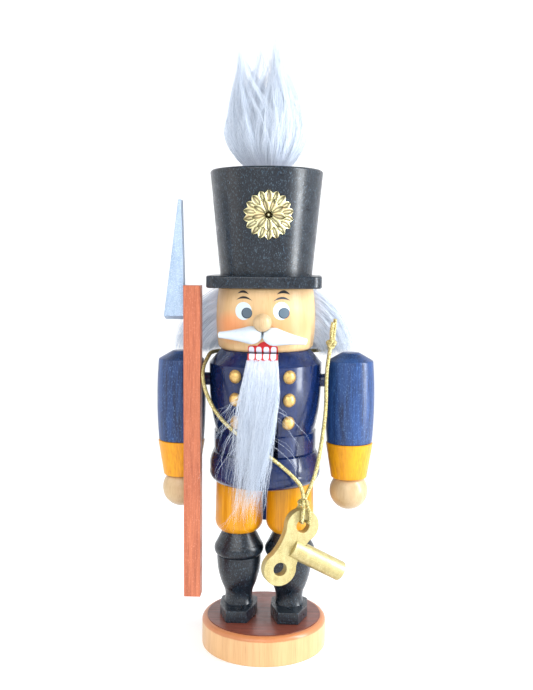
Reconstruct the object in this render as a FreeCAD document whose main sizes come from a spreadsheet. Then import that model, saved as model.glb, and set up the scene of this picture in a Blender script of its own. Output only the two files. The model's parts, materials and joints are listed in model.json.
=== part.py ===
"""Wooden nutcracker figure with a halberd and a hanging key.

Millimetres, +Z up. The origin is the centre of the base's underside, the figure looks along -Y,
and its own left hand is on the +X side. Turned pieces are revolved profiles, cut pieces are pads,
and everything is glued on dowels except the jaw lever and the key.
"""
import FreeCAD, Part
import math
import os
import re
import Sketcher

# Driving dimensions: alias, value in millimetres (or degrees where the word says so).
SIZES = [
    # fits
    ("glue_gap", 0.05), ("running_gap", 0.06), ("lever_gap", 0.4), ("soft_gap", 0.35),
    # plinth
    ("base_radius", 29.1), ("base_height", 13.8), ("base_shoulder", 2.6), ("base_drop", 2.4),
    ("base_step", 0.35), ("base_foot_round", 0.8), ("leg_dowel_depth", 8.0),
    # shoes
    ("leg_offset", 11.9), ("shoe_height", 5.6), ("shoe_half_width", 8.5), ("shoe_toe_half_width", 4.7),
    ("shoe_toe_reach", 14.2), ("shoe_ball_reach", 3.4), ("shoe_heel_reach", 7.2),
    # boots
    ("leg_dowel_radius", 3.0), ("boot_height", 34.6), ("boot_foot_radius", 6.9), ("ankle_radius", 6.35),
    ("ankle_height", 3.4), ("shin_radius", 7.5), ("shin_height", 8.0), ("calf_radius", 9.65),
    ("calf_height", 15.0), ("boot_band_radius", 10.3), ("boot_band_height", 22.8),
    ("boot_groove", 0.45), ("boot_groove_height", 0.7), ("boot_cuff_radius", 11.45),
    ("boot_cuff_height", 27.0), ("boot_cuff_shoulder", 1.6), ("knee_radius", 7.7),
    # breeches
    ("breeches_height", 24.0), ("breeches_hem_radius", 8.2), ("breeches_radius", 11.1),
    ("breeches_round_height", 6.0), ("breeches_top_radius", 10.7), ("breeches_round_shift", 2.2),
    # coat
    ("coat_height", 61.5), ("coat_hem_inner", 21.5), ("coat_skirt_radius", 25.5), ("coat_skirt_height", 6.0),
    ("coat_hem_bulge_radius", 24.4), ("coat_hem_bulge_height", 1.7), ("coat_skirt_top_radius", 23.9),
    ("coat_skirt_top_height", 14.3), ("coat_skirt_side_radius", 25.1), ("coat_skirt_side_height", 11.0),
    ("belt_groove_radius", 22.9), ("belt_radius", 23.5), ("belt_bottom_height", 14.8), ("belt_height", 9.1),
    ("belt_bevel", 0.5), ("waist_radius", 22.8), ("rib_radius", 24.6), ("rib_height", 33.0),
    ("chest_radius", 25.7), ("chest_height", 46.5), ("shoulder_radius", 25.8), ("shoulder_height", 55.2),
    ("collar_radius", 20.2), ("slot_width", 14.0), ("slot_floor_height", 14.2),
    # jaw lever
    ("jaw_width", 13.2), ("jaw_chin_reach", 24.8), ("jaw_lip_reach", 21.9), ("jaw_chin_height", 54.4),
    ("jaw_front_bottom_height", 28.0), ("jaw_bed_depth", 12.0), ("jaw_bed_floor_height", 46.0),
    ("pivot_back", 3.0), ("pivot_height", 37.0), ("pivot_radius", 1.5), ("pivot_boss", 10.0),
    ("tail_gap", 1.2), ("tail_thickness", 5.0), ("tail_drop", 28.0), ("tail_shoulder_height", 35.0),
    ("tail_neck_height", 22.0), ("tail_flare", 2.0),
    # head
    ("head_height", 28.1), ("head_end_radius", 21.4), ("head_radius", 22.6), ("head_chin_round", 2.4),
    ("head_crown_round", 0.9), ("neck_dowel_radius", 2.5), ("neck_dowel_offset", 13.5),
    ("neck_dowel_depth", 7.0), ("nose_radius", 4.0), ("nose_height", 13.6), ("nose_sink", 0.9),
    ("nose_peg_radius", 1.2), ("nose_peg_length", 5.0),
    # moustache
    ("moustache_length", 19.4), ("moustache_radius", 3.65), ("moustache_root_radius", 1.5),
    ("moustache_belly", 6.6), ("moustache_waist_radius", 2.15), ("moustache_waist", 13.6),
    ("moustache_tip_radius", 1.35), ("moustache_gap", 0.35),
    ("moustache_height", 8.2), ("moustache_stand", 25.3), ("moustache_sweep_degrees", 13.0),
    ("moustache_left_droop_degrees", 9.0), ("moustache_right_droop_degrees", 1.5),
    # hat
    ("visor_height", 5.4), ("visor_half_width", 25.4), ("visor_reach", 25.4), ("visor_corner_reach", 21.9),
    ("visor_corner_round", 6.0), ("visor_round", 0.8), ("hat_height", 46.9), ("hat_bottom_radius", 20.9), ("hat_top_radius", 25.5),
    ("hat_rim_round", 1.2), ("hat_dowel_radius", 4.0), ("hat_dowel_depth", 8.0),
    ("rosette_radius", 11.3), ("rosette_notch", 1.3), ("rosette_height", 27.2), ("rosette_thickness", 1.3),
    ("rosette_turn_degrees", 5.4), ("rosette_points", 18),
    # plume
    ("plume_height", 63.5), ("plume_root_radius", 7.4), ("plume_radius", 15.4), ("plume_belly_height", 23.0),
    ("plume_crown_radius", 9.5), ("plume_crown_height", 46.0), ("plume_tip_radius", 3.0),
    ("plume_pin_radius", 2.0), ("plume_pin_depth", 7.0), ("plume_pin_rise", 6.0),
    # hair
    ("hair_bottom_lift", 0.5), ("hair_right_reach", 46.0), ("hair_left_reach", 42.0),
    ("hair_right_middle", 37.5), ("hair_left_middle", 39.5), ("hair_right_top", 26.5),
    ("hair_left_top", 31.0), ("hair_middle_height", 12.0), ("hair_left_top_height", 23.5),
    ("hair_back", 31.0), ("hair_front", 1.5), ("hair_corner", 9.0),
    # beard
    ("beard_root_half_width", 6.9), ("beard_half_width", 8.0), ("beard_tip_half_width", 3.0),
    ("beard_root_height", 56.0), ("beard_full_height", 31.0), ("beard_tip_height", -3.0),
    ("beard_thickness", 3.6), ("beard_hang", 29.4), ("beard_shift", 4.5), ("beard_root_drop", 19.0),
    # arms
    ("arm_offset", 39.0), ("sleeve_height", 41.5), ("sleeve_end_radius", 10.4), ("sleeve_radius", 11.2),
    ("sleeve_cap_height", 3.7), ("sleeve_cap_radius", 4.0), ("sleeve_round", 0.7),
    ("sleeve_hem_rise", 18.5), ("cuff_height", 16.4), ("cuff_top_radius", 10.8), ("cuff_bottom_radius", 8.3),
    ("hand_radius", 8.8), ("hand_flat_rise", 6.3), ("arm_dowel_radius", 3.0), ("arm_dowel_height", 47.0),
    ("arm_dowel_depth", 8.0), ("hand_dowel_radius", 2.5), ("hand_dowel_depth", 6.0),
    # halberd
    ("shaft_width", 7.5), ("shaft_bottom", 27.5), ("shaft_top", 168.6), ("shaft_inset", 7.4), ("shaft_stand", 11.0),
    ("blade_width", 9.0), ("blade_bottom", 153.2),
    ("blade_bevel", 1.9), ("blade_tip", 206.0), ("blade_tip_width", 1.3), ("blade_tip_lean", 1.0),
    ("blade_thickness", 6.2), ("halberd_pin_radius", 1.2), ("halberd_pin_grip", 4.0),
    ("halberd_pin_shift", 5.0),
    # buttons
    ("button_radius", 3.0), ("button_rise", 2.3), ("button_edge", 0.3), ("button_peg_radius", 1.0), ("button_peg_length", 4.0),
    ("button_turn_degrees", 27.3), ("button_top_height", 51.2), ("button_pitch", 10.2),
    # key
    ("key_hole_radius", 3.0), ("key_lobe_radius", 7.5), ("key_hole_spacing", 21.2), ("key_thickness", 4.4),
    ("key_waist", 5.4), ("key_neck_drop", 4.2), ("key_barrel_radius", 4.4), ("key_barrel_length", 27.0),
    ("key_barrel_start", 0.7), ("key_slot_extra", 0.7), ("key_turn_degrees", 22.0),
    ("key_pivot_right", 18.6), ("key_pivot_front", 22.9), ("key_pivot_height", 65.4),
    # cord
    ("cord_radius", 0.9), ("hitch_corner", 1.0), ("hitch_clear", 0.3), ("hitch_rise", 1.0), ("hitch_lift", 1.5), ("hitch_knot_radius", 2.1),
    ("knot_radius", 2.6),
]

# The gold cord, from the knot on the left shoulder round the neck and across the chest to the key,
# and from the key straight up to the knot again. The points are chosen by hand.
LONG_STRAND = [
    (30.0, -8.0, 142.5), (30.0, 0.5, 140.6), (26.8, 9.5, 138.0), (19.5, 17.8, 136.6),
    (9.0, 24.2, 136.4), (-3.5, 25.6, 136.3), (-15.5, 20.9, 136.5), (-23.0, 11.5, 136.9),
    (-25.4, 1.5, 137.2), (-25.4, -8.6, 136.6), (-27.4, -16.6, 131.4), (-25.6, -21.0, 122.6),
    (-19.9, -24.6, 112.6), (-10.8, -27.0, 104.4), (-0.6, -27.7, 98.0), (8.0, -27.0, 91.4),
    (14.4, -25.8, 85.4), (18.2, -24.3, 80.2), (18.4, -23.1, 75.4),
]
SHORT_STRAND = [
    (19.0, -22.9, 75.4), (22.4, -22.6, 82.5), (24.8, -21.6, 91.5), (26.6, -18.4, 102.5),
    (28.0, -14.6, 114.5), (27.9, -11.4, 126.5), (28.6, -9.2, 135.6), (30.0, -8.0, 142.5),
]
TAILS = {
    "cord_tail_front": [(30.2, -8.8, 143.5), (29.6, -9.6, 147.6), (30.6, -9.4, 152.2)],
    "cord_tail_rear": [(30.8, -7.2, 143.8), (31.4, -6.4, 148.6), (31.6, -6.9, 153.6)],
}

SIDES = {"left": 1, "right": -1}

doc = FreeCAD.newDocument("Nutcracker")
sheet = doc.addObject("Spreadsheet::Sheet", "Sizes")
nodes = []


def fill_sheet():
    """Write every driving dimension and its alias into the spreadsheet."""
    for row, (alias, amount) in enumerate(SIZES, start=1):
        sheet.set(f"A{row}", alias)
        sheet.set(f"B{row}", str(amount))
        sheet.setAlias(f"B{row}", alias)
    doc.recompute()


def cell(text):
    """Expression text in which every plain word is read from the spreadsheet."""
    return re.sub(r"\b([a-z]\w*)\b(?!\()", r"Sizes.\1", str(text))


def amount(text):
    """Present value of an expression over the spreadsheet's aliases."""
    return float(sheet.evalExpression(cell(text)))


def bind(thing, **expressions):
    """Bind properties of an object to expressions; two underscores stand for a dot."""
    for name, text in expressions.items():
        thing.setExpression(name.replace("__", "."), cell(text))


def stand(thing, x="0", y="0", z="0"):
    """Bind an object's position."""
    bind(thing, Placement__Base__x=x, Placement__Base__y=y, Placement__Base__z=z)
    return thing


def node(thing, label):
    """Register an object as a finished piece under its own label."""
    thing.Label = label
    nodes.append(thing)
    return thing


def name_for(label):
    """Internal object name made from a label."""
    return "".join(word.capitalize() for word in label.split("_"))


def pin_point(sketch, geometry, position, across, up):
    """Fix a sketch point at two bound distances from the origin."""
    for kind, text, axis in (("DistanceX", across, -2), ("DistanceY", up, -1)):
        if str(text) == "0":
            sketch.addConstraint(Sketcher.Constraint("PointOnObject", geometry, position, axis))
            continue
        place = Sketcher.Constraint(kind, -1, 1, geometry, position, amount(text))
        index = sketch.addConstraint(place)
        sketch.setExpression(f"Constraints[{index}]", cell(text))


def outline(body, plane, corners, name="Outline"):
    """Closed sketch through corners (across, up); ("via", across, up) bends the run into an arc."""
    sketch = body.newObject("Sketcher::SketchObject", name)
    origin = next(f for f in body.Origin.OriginFeatures if f.Role == plane)
    sketch.AttachmentSupport = (origin, [""])
    sketch.MapMode = "FlatFace"
    ring = list(corners)
    stops = [i for i, corner in enumerate(ring) if corner[0] != "via"]
    runs = []
    for here, there in zip(stops, stops[1:] + [stops[0] + len(ring)]):
        via = ring[(here + 1) % len(ring)] if there - here > 1 else None
        runs.append((ring[here], via, ring[there % len(ring)]))
    heads = []
    for start, via, end in runs:
        first = FreeCAD.Vector(amount(start[0]), amount(start[1]), 0)
        last = FreeCAD.Vector(amount(end[0]), amount(end[1]), 0)
        heads.append((1, 2))
        if via is None:
            sketch.addGeometry(Part.LineSegment(first, last), False)
            continue
        middle = FreeCAD.Vector(amount(via[1]), amount(via[2]), 0)
        if (middle - first).cross(last - middle).z < 0:
            # A sketch arc always runs anticlockwise, so this one is drawn from its far end.
            first, last = last, first
            heads[-1] = (2, 1)
        sketch.addGeometry(Part.Arc(first, middle, last), False)
    for index, (start, via, end) in enumerate(runs):
        following = (index + 1) % len(runs)
        sketch.addConstraint(
            Sketcher.Constraint("Coincident", index, heads[index][1], following, heads[following][0])
        )
        pin_point(sketch, index, heads[index][0], start[0], start[1])
        if via is not None:
            place = FreeCAD.Vector(amount(via[1]), amount(via[2]), 0)
            mark = sketch.addGeometry(Part.Point(place), True)
            sketch.addConstraint(Sketcher.Constraint("PointOnObject", mark, 1, index))
            pin_point(sketch, mark, 1, via[1], via[2])
    return sketch


def turned(label, corners):
    """Piece turned on a lathe: the outline (radius, height) revolved about Z."""
    body = doc.addObject("PartDesign::Body", name_for(label) + "Turned")
    sketch = outline(body, "XZ_Plane", corners)
    lathe = body.newObject("PartDesign::Revolution", "Revolution")
    lathe.Profile = sketch
    lathe.ReferenceAxis = (sketch, ["V_Axis"])
    lathe.Angle = 360
    doc.recompute()
    return body


def sawn(label, plane, corners, thickness):
    """Piece sawn from a board: the outline padded by its thickness, centred on the plane."""
    body = doc.addObject("PartDesign::Body", name_for(label) + "Sawn")
    sketch = outline(body, plane, corners)
    pad = body.newObject("PartDesign::Pad", "Pad")
    pad.Profile = sketch
    pad.Midplane = True
    bind(pad, Length=thickness)
    doc.recompute()
    return body


def circle_edges(shape, radius, height):
    """Names of a body's level round edges of the given radius and height."""
    found = []
    for index, edge in enumerate(shape.Edges, start=1):
        if not isinstance(edge.Curve, Part.Circle) or abs(edge.Curve.Axis.z) < 0.99:
            continue
        if abs(edge.Curve.Radius - radius) < 1e-4 and abs(edge.Curve.Center.z - height) < 1e-4:
            found.append(f"Edge{index}")
    return found


def soften(body, radius, *rings):
    """Round the edges that lie on level circles (radius, height) of a turned body."""
    names = []
    for ring in rings:
        names += circle_edges(body.Tip.Shape, amount(ring[0]), amount(ring[1]))
    base = body.Tip
    fillet = body.newObject("PartDesign::Fillet", "Fillet")
    fillet.Base = (base, names)
    bind(fillet, Radius=radius)
    doc.recompute()
    return body


def soften_all(body, radius, keep):
    """Round every edge of a sawn body whose middle satisfies a test."""
    base = body.Tip
    names = [
        f"Edge{index}" for index, edge in enumerate(base.Shape.Edges, start=1)
        if keep(edge.valueAt((edge.FirstParameter + edge.LastParameter) / 2))
    ]
    fillet = body.newObject("PartDesign::Fillet", "Fillet")
    fillet.Base = (base, names)
    bind(fillet, Radius=radius)
    doc.recompute()
    return body


def rod(label, radius, length, x="0", y="0", z="0", along="z"):
    """Round rod or drill that starts at (x, y, z) and runs along a positive axis."""
    thing = doc.addObject("Part::Cylinder", name_for(label))
    bind(thing, Radius=radius, Height=length)
    turns = {"z": (FreeCAD.Vector(0, 0, 1), 0), "x": (FreeCAD.Vector(0, 1, 0), 90),
             "y": (FreeCAD.Vector(1, 0, 0), -90)}
    thing.Placement = FreeCAD.Placement(FreeCAD.Vector(), FreeCAD.Rotation(*turns[along]))
    return stand(thing, x, y, z)


def block(label, length, width, height, x="0", y="0", z="0"):
    """Box whose lowest corner is at (x, y, z)."""
    thing = doc.addObject("Part::Box", name_for(label))
    bind(thing, Length=length, Width=width, Height=height)
    return stand(thing, x, y, z)


def cut(label, base, tools):
    """Base with every tool taken away."""
    group = doc.addObject("Part::Compound", name_for(label) + "Tools")
    group.Links = tools
    thing = doc.addObject("Part::Cut", name_for(label) + "Cut")
    thing.Base = base
    thing.Tool = group
    return thing


def cord_tube(label, points):
    """Round cord along straight runs that tangent arcs join at every inner point."""
    radius = amount("cord_radius")
    places = [FreeCAD.Vector(*point) for point in points]
    edges = []
    start = places[0]
    length = 0.0
    bends = []
    for before, corner, after in zip(places, places[1:], places[2:]):
        inward = (corner - before).normalize()
        outward = (after - corner).normalize()
        turn = inward.getAngle(outward)
        reach = 0.45 * min((corner - before).Length, (after - corner).Length)
        bend = reach / math.tan(turn / 2)
        first = corner - inward * reach
        last = corner + outward * reach
        heart = (outward - inward).normalize()
        middle = corner + heart * (bend / math.cos(turn / 2) - bend)
        edges += [Part.LineSegment(start, first).toShape(), Part.Arc(first, middle, last).toShape()]
        length += (first - start).Length + bend * turn
        start = last
        bends.append(round(bend, 1))
    edges.append(Part.LineSegment(start, places[-1]).toShape())
    length += (places[-1] - start).Length
    ring = Part.Wire(Part.makeCircle(radius, places[0], places[1] - places[0]))
    thing = doc.addObject("Part::Feature", name_for(label))
    thing.Shape = Part.Wire(edges).makePipeShell([ring], True, False)
    ideal = math.pi * radius ** 2 * length
    if abs(thing.Shape.Volume - ideal) > 0.01 * ideal:
        raise RuntimeError(f"{label}: tube volume is not section times length")
    print(f"{label}: length {length:.1f}, bend radii {bends}")
    return node(thing, label)


# Heights of the stack, from the table up.
SHOE_Z = "base_height"
BOOT_Z = "base_height + shoe_height"
BREECHES_Z = BOOT_Z + " + boot_height"
COAT_Z = BREECHES_Z + " + breeches_height"
HEAD_Z = COAT_Z + " + coat_height"
VISOR_Z = HEAD_Z + " + head_height"
HAT_Z = VISOR_Z + " + visor_height"
PLUME_Z = HAT_Z + " + hat_height"
SLEEVE_Z = COAT_Z + " + sleeve_hem_rise"
CUFF_Z = SLEEVE_Z + " - cuff_height"
HAND_Z = CUFF_Z + " - hand_flat_rise"
PIVOT_Z = COAT_Z + " + pivot_height"


def make_base():
    """Plinth with a rounded shoulder, a fine step and two dowel holes."""
    body = turned("base_disc", [
        ("0", "0"),
        ("base_radius - base_foot_round", "0"),
        ("via", "base_radius - 0.29 * base_foot_round", "0.29 * base_foot_round"),
        ("base_radius", "base_foot_round"),
        ("base_radius", "base_height - base_drop"),
        ("via", "base_radius - 0.29 * base_shoulder", "base_height - 0.29 * base_drop - 0.71 * base_step"),
        ("base_radius - base_shoulder", "base_height - base_step"),
        ("base_radius - base_shoulder", "base_height"),
        ("0", "base_height"),
    ])
    holes = [
        rod(f"base_hole_{side}", "leg_dowel_radius + glue_gap", "leg_dowel_depth + glue_gap",
            x=f"{sign} * leg_offset", z="base_height - leg_dowel_depth")
        for side, sign in SIDES.items()
    ]
    node(cut("base_disc", body, holes), "base_disc")


def make_shoe(side, sign):
    """Five-sided shoe block, pointed forward, with the leg dowel's hole."""
    body = sawn(f"shoe_{side}", "XY_Plane", [
        ("shoe_toe_half_width", "-shoe_toe_reach"),
        ("shoe_half_width", "-shoe_ball_reach"),
        ("shoe_half_width", "shoe_heel_reach - 2"),
        ("shoe_half_width - 2", "shoe_heel_reach"),
        ("-(shoe_half_width - 2)", "shoe_heel_reach"),
        ("-shoe_half_width", "shoe_heel_reach - 2"),
        ("-shoe_half_width", "-shoe_ball_reach"),
        ("-shoe_toe_half_width", "-shoe_toe_reach"),
    ], "shoe_height")
    stand(body, x=f"{sign} * leg_offset", z=SHOE_Z + " + shoe_height / 2")
    hole = rod(f"shoe_hole_{side}", "leg_dowel_radius + glue_gap", "shoe_height + 2",
               x=f"{sign} * leg_offset", z=SHOE_Z + " - 1")
    node(cut(f"shoe_{side}", body, [hole]), f"shoe_{side}")


def make_boot(side, sign):
    """Turned boot: vase-shaped calf, groove, and a turned-down cuff under the knee."""
    bore = "leg_dowel_radius + glue_gap"
    body = turned(f"boot_{side}", [
        (bore, "0"),
        ("boot_foot_radius", "0"),
        ("via", "ankle_radius", "ankle_height"),
        ("shin_radius", "shin_height"),
        ("via", "calf_radius", "calf_height"),
        ("boot_band_radius", "boot_band_height"),
        ("boot_band_radius - boot_groove", "boot_band_height + boot_groove_height / 2"),
        ("boot_band_radius + boot_groove", "boot_band_height + boot_groove_height"),
        ("via", "boot_cuff_radius", "boot_cuff_height"),
        ("boot_cuff_radius - boot_cuff_shoulder / 2", "boot_cuff_height + boot_cuff_shoulder"),
        ("knee_radius", "boot_height"),
        (bore, "boot_height"),
    ])
    stand(body, x=f"{sign} * leg_offset", z=BOOT_Z)
    node(body, f"boot_{side}")


def make_breeches(side, sign):
    """Turned thigh with a rounded lower end."""
    bore = "leg_dowel_radius + glue_gap"
    body = turned(f"breeches_{side}", [
        (bore, "0"),
        ("breeches_hem_radius", "0"),
        ("via", "breeches_radius - 0.75", "breeches_round_shift"),
        ("breeches_radius", "breeches_round_height"),
        ("breeches_top_radius", "breeches_height"),
        (bore, "breeches_height"),
    ])
    stand(body, x=f"{sign} * leg_offset", z=BREECHES_Z)
    node(body, f"breeches_{side}")


def make_leg_dowel(side, sign):
    """Dowel from the base through shoe, boot and breeches into the coat."""
    length = "2 * leg_dowel_depth + shoe_height + boot_height + breeches_height"
    dowel = rod(f"leg_dowel_{side}", "leg_dowel_radius", length,
                x=f"{sign} * leg_offset", z="base_height - leg_dowel_depth")
    node(dowel, f"leg_dowel_{side}")


def coat_holes():
    """Drills and saw cuts that the coat takes: dowels, pins, pegs and the lever's slot."""
    tools = [
        block("lever_slot", "slot_width", "4 * shoulder_radius", "coat_height",
              x="-slot_width / 2", y="-2 * shoulder_radius", z=COAT_Z + " + slot_floor_height"),
        rod("pivot_hole", "pivot_radius + running_gap", "4 * shoulder_radius",
            x="-2 * shoulder_radius", y="pivot_back", z=PIVOT_Z, along="x"),
    ]
    for side, sign in SIDES.items():
        tools.append(rod(f"coat_leg_hole_{side}", "leg_dowel_radius + glue_gap", "leg_dowel_depth + glue_gap",
                         x=f"{sign} * leg_offset", z=COAT_Z))
        tools.append(rod(f"coat_neck_hole_{side}", "neck_dowel_radius + glue_gap",
                         "neck_dowel_depth + glue_gap + 1", x=f"{sign} * neck_dowel_offset",
                         z=HEAD_Z + " - neck_dowel_depth - glue_gap"))
        start = f"{sign} * (chest_radius - arm_dowel_depth)" + ("" if sign > 0 else " - 2 * arm_dowel_depth")
        tools.append(rod(f"coat_arm_hole_{side}", "arm_dowel_radius + glue_gap", "2 * arm_dowel_depth",
                         x=start, z=COAT_Z + " + arm_dowel_height", along="x"))
        for row in range(3):
            tools.append(button_peg(f"button_drill_{side}_{row}", sign, row, "glue_gap"))
    return tools


def button_pose(sign, row):
    """Placement at the coat's surface with local +Z pointing straight out."""
    turn = sign * amount("button_turn_degrees")
    radius = amount(("shoulder_radius", "chest_radius", "rib_radius + 0.35")[row])
    height = amount(f"{COAT_Z} + button_top_height - {row} * button_pitch")
    outward = FreeCAD.Rotation(FreeCAD.Vector(0, 0, 1), turn) * FreeCAD.Rotation(FreeCAD.Vector(1, 0, 0), 90)
    place = FreeCAD.Rotation(FreeCAD.Vector(0, 0, 1), turn).multVec(FreeCAD.Vector(0, -radius, height))
    return FreeCAD.Placement(place, outward)


def button_peg(label, sign, row, extra):
    """Peg of a button, or with extra play the drill for it."""
    peg = doc.addObject("Part::Cylinder", name_for(label))
    bind(peg, Radius=f"button_peg_radius + {extra}", Height="button_peg_length + 2")
    pose = button_pose(sign, row)
    back = pose.Rotation.multVec(FreeCAD.Vector(0, 0, -amount(f"button_peg_length + {extra}")))
    peg.Placement = FreeCAD.Placement(pose.Base + back, pose.Rotation)
    return peg


def make_coat():
    """Turned torso: skirt, belt and chest in one block, slotted from front to back for the lever."""
    body = turned("coat_body", [
        ("0", "0"),
        ("coat_hem_inner", "0"),
        ("via", "coat_hem_bulge_radius", "coat_hem_bulge_height"),
        ("coat_skirt_radius", "coat_skirt_height"),
        ("via", "coat_skirt_side_radius", "coat_skirt_side_height"),
        ("coat_skirt_top_radius", "coat_skirt_top_height"),
        ("belt_groove_radius", "belt_bottom_height"),
        ("belt_radius", "belt_bottom_height + belt_bevel"),
        ("belt_radius", "belt_bottom_height + belt_height"),
        ("waist_radius", "belt_bottom_height + belt_height + belt_bevel"),
        ("via", "rib_radius", "rib_height"),
        ("chest_radius", "chest_height"),
        ("shoulder_radius", "shoulder_height"),
        ("collar_radius", "coat_height"),
        ("0", "coat_height"),
    ])
    stand(body, z=COAT_Z)
    node(cut("coat_body", body, coat_holes()), "coat_body")
    reach = "sqrt(chest_radius ^ 2 - pivot_back ^ 2) - 1.5"
    pin = rod("pivot_pin", "pivot_radius", f"2 * ({reach})", x=f"-({reach})", y="pivot_back",
              z=PIVOT_Z, along="x")
    node(pin, "pivot_pin")


def make_lever():
    """Jaw lever: lip, nut bed and chin in front of the pivot, the tail behind and below it."""
    tail = "coat_skirt_radius + tail_gap"
    top = "coat_height - lever_gap"
    body = sawn("jaw_lever", "YZ_Plane", [
        ("-jaw_lip_reach", top),
        ("-jaw_chin_reach", "jaw_chin_height"),
        ("-jaw_chin_reach", "jaw_front_bottom_height"),
        ("-jaw_chin_reach + 7", "jaw_front_bottom_height - 3"),
        ("pivot_back - pivot_boss / 2", "pivot_height - pivot_boss"),
        (tail + " - 8", "tail_neck_height + 2.5"),
        (tail, "tail_neck_height - 3"),
        (tail + " + tail_flare", "-tail_drop"),
        (tail + " + tail_flare + tail_thickness - 1", "-tail_drop"),
        (tail + " + tail_flare + tail_thickness", "tail_shoulder_height - 7"),
        (tail + " + tail_thickness - 3", "tail_shoulder_height"),
        ("pivot_back + pivot_boss / 2", "pivot_height + 4.5"),
        ("-jaw_lip_reach + jaw_bed_depth + 3", "jaw_bed_floor_height"),
        ("-jaw_lip_reach + jaw_bed_depth", top),
    ], "jaw_width")
    stand(body, z=COAT_Z)
    hole = rod("lever_hole", "pivot_radius + running_gap", "jaw_width + 2", x="-jaw_width / 2 - 1",
               y="pivot_back", z=PIVOT_Z, along="x")
    node(cut("jaw_lever", body, [hole]), "jaw_lever")


def make_head():
    """Barrel head on two neck dowels, with a ball nose on a peg."""
    body = turned("head_block", [
        ("0", "0"),
        ("head_end_radius", "0"),
        ("via", "head_radius", "head_height / 2"),
        ("head_end_radius", "head_height"),
        ("0", "head_height"),
    ])
    soften(body, "head_chin_round", ("head_end_radius", "0"))
    soften(body, "head_crown_round", ("head_end_radius", "head_height"))
    stand(body, z=HEAD_Z)
    holes = [
        rod("head_hat_hole", "hat_dowel_radius + glue_gap", "hat_dowel_depth + glue_gap + 1",
            z=VISOR_Z + " - hat_dowel_depth - glue_gap"),
        rod("nose_hole", "nose_peg_radius + glue_gap", "nose_peg_length + 5 + glue_gap",
            y="-head_radius - 5", z=HEAD_Z + " + nose_height", along="y"),
    ]
    for side, sign in SIDES.items():
        holes.append(rod(f"head_neck_hole_{side}", "neck_dowel_radius + glue_gap",
                         "neck_dowel_depth + glue_gap", x=f"{sign} * neck_dowel_offset", z=HEAD_Z))
        dowel = rod(f"neck_dowel_{side}", "neck_dowel_radius", "2 * neck_dowel_depth",
                    x=f"{sign} * neck_dowel_offset", z=HEAD_Z + " - neck_dowel_depth")
        node(dowel, f"neck_dowel_{side}")
    node(cut("head_block", body, holes), "head_block")


def nose_ball(label, radius):
    """Ball of any radius about the nose's centre."""
    ball = doc.addObject("Part::Sphere", name_for(label))
    bind(ball, Radius=radius)
    return stand(ball, y="-(head_radius + nose_radius - nose_sink)", z=HEAD_Z + " + nose_height")


def make_nose():
    """Ball nose seated on the curved face, with its peg."""
    ball = nose_ball("nose_ball", "nose_radius")
    face = rod("nose_face", "head_radius + glue_gap", "head_height", z=HEAD_Z)
    seated = cut("nose_seated", ball, [face])
    peg = rod("nose_peg", "nose_peg_radius", f"nose_peg_length + nose_radius / 2",
              y="-(head_radius + nose_radius / 2)", z=HEAD_Z + " + nose_height", along="y")
    whole = doc.addObject("Part::Fuse", "NoseWhole")
    whole.Base = seated
    whole.Tool = peg
    node(whole, "nose")


def make_moustache(side, sign):
    """One turned half of the moustache, thickest near the middle and swept back to a blunt tip."""
    body = turned(f"moustache_{side}", [
        ("0", "0"),
        ("moustache_root_radius", "0"),
        ("via", "0.86 * moustache_radius", "0.27 * moustache_belly"),
        ("moustache_radius", "moustache_belly"),
        ("via", "moustache_waist_radius", "moustache_waist"),
        ("moustache_tip_radius", "moustache_length"),
        ("0", "moustache_length"),
    ])
    droop = amount(f"moustache_{side}_droop_degrees")
    sweep = amount("moustache_sweep_degrees")
    lie = FreeCAD.Rotation(FreeCAD.Vector(0, 1, 0), sign * (90 + droop))
    back = FreeCAD.Rotation(FreeCAD.Vector(0, 0, 1), sign * sweep)
    body.Placement = FreeCAD.Placement(FreeCAD.Vector(), back * lie)
    stand(body, x=f"{sign} * moustache_gap", y="-moustache_stand", z=HEAD_Z + " + moustache_height")
    face = rod(f"moustache_face_{side}", "head_radius + glue_gap", "head_height", z=HEAD_Z)
    seat = nose_ball(f"moustache_seat_{side}", "nose_radius + glue_gap")
    node(cut(f"moustache_{side}", body, [face, seat]), f"moustache_{side}")


def make_visor():
    """Flat visor board with a gently bowed front, straight sides and a round back."""
    body = sawn("visor", "XY_Plane", [
        ("-visor_half_width", "-visor_corner_reach"),
        ("via", "0", "-visor_reach"),
        ("visor_half_width", "-visor_corner_reach"),
        ("visor_half_width", "0"),
        ("via", "0", "visor_half_width"),
        ("-visor_half_width", "0"),
    ], "visor_height")
    corner = -amount("visor_corner_reach")
    soften_all(body, "visor_corner_round", lambda place: abs(place.z) < 1e-6 and abs(place.y - corner) < 1e-4)
    half = amount("visor_height / 2")
    soften_all(body, "visor_round", lambda place: abs(abs(place.z) - half) < 1e-6)
    stand(body, z=VISOR_Z + " + visor_height / 2")
    hole = rod("visor_hole", "hat_dowel_radius + glue_gap", "visor_height + 2", z=VISOR_Z + " - 1")
    node(cut("visor", body, [hole]), "visor")


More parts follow.
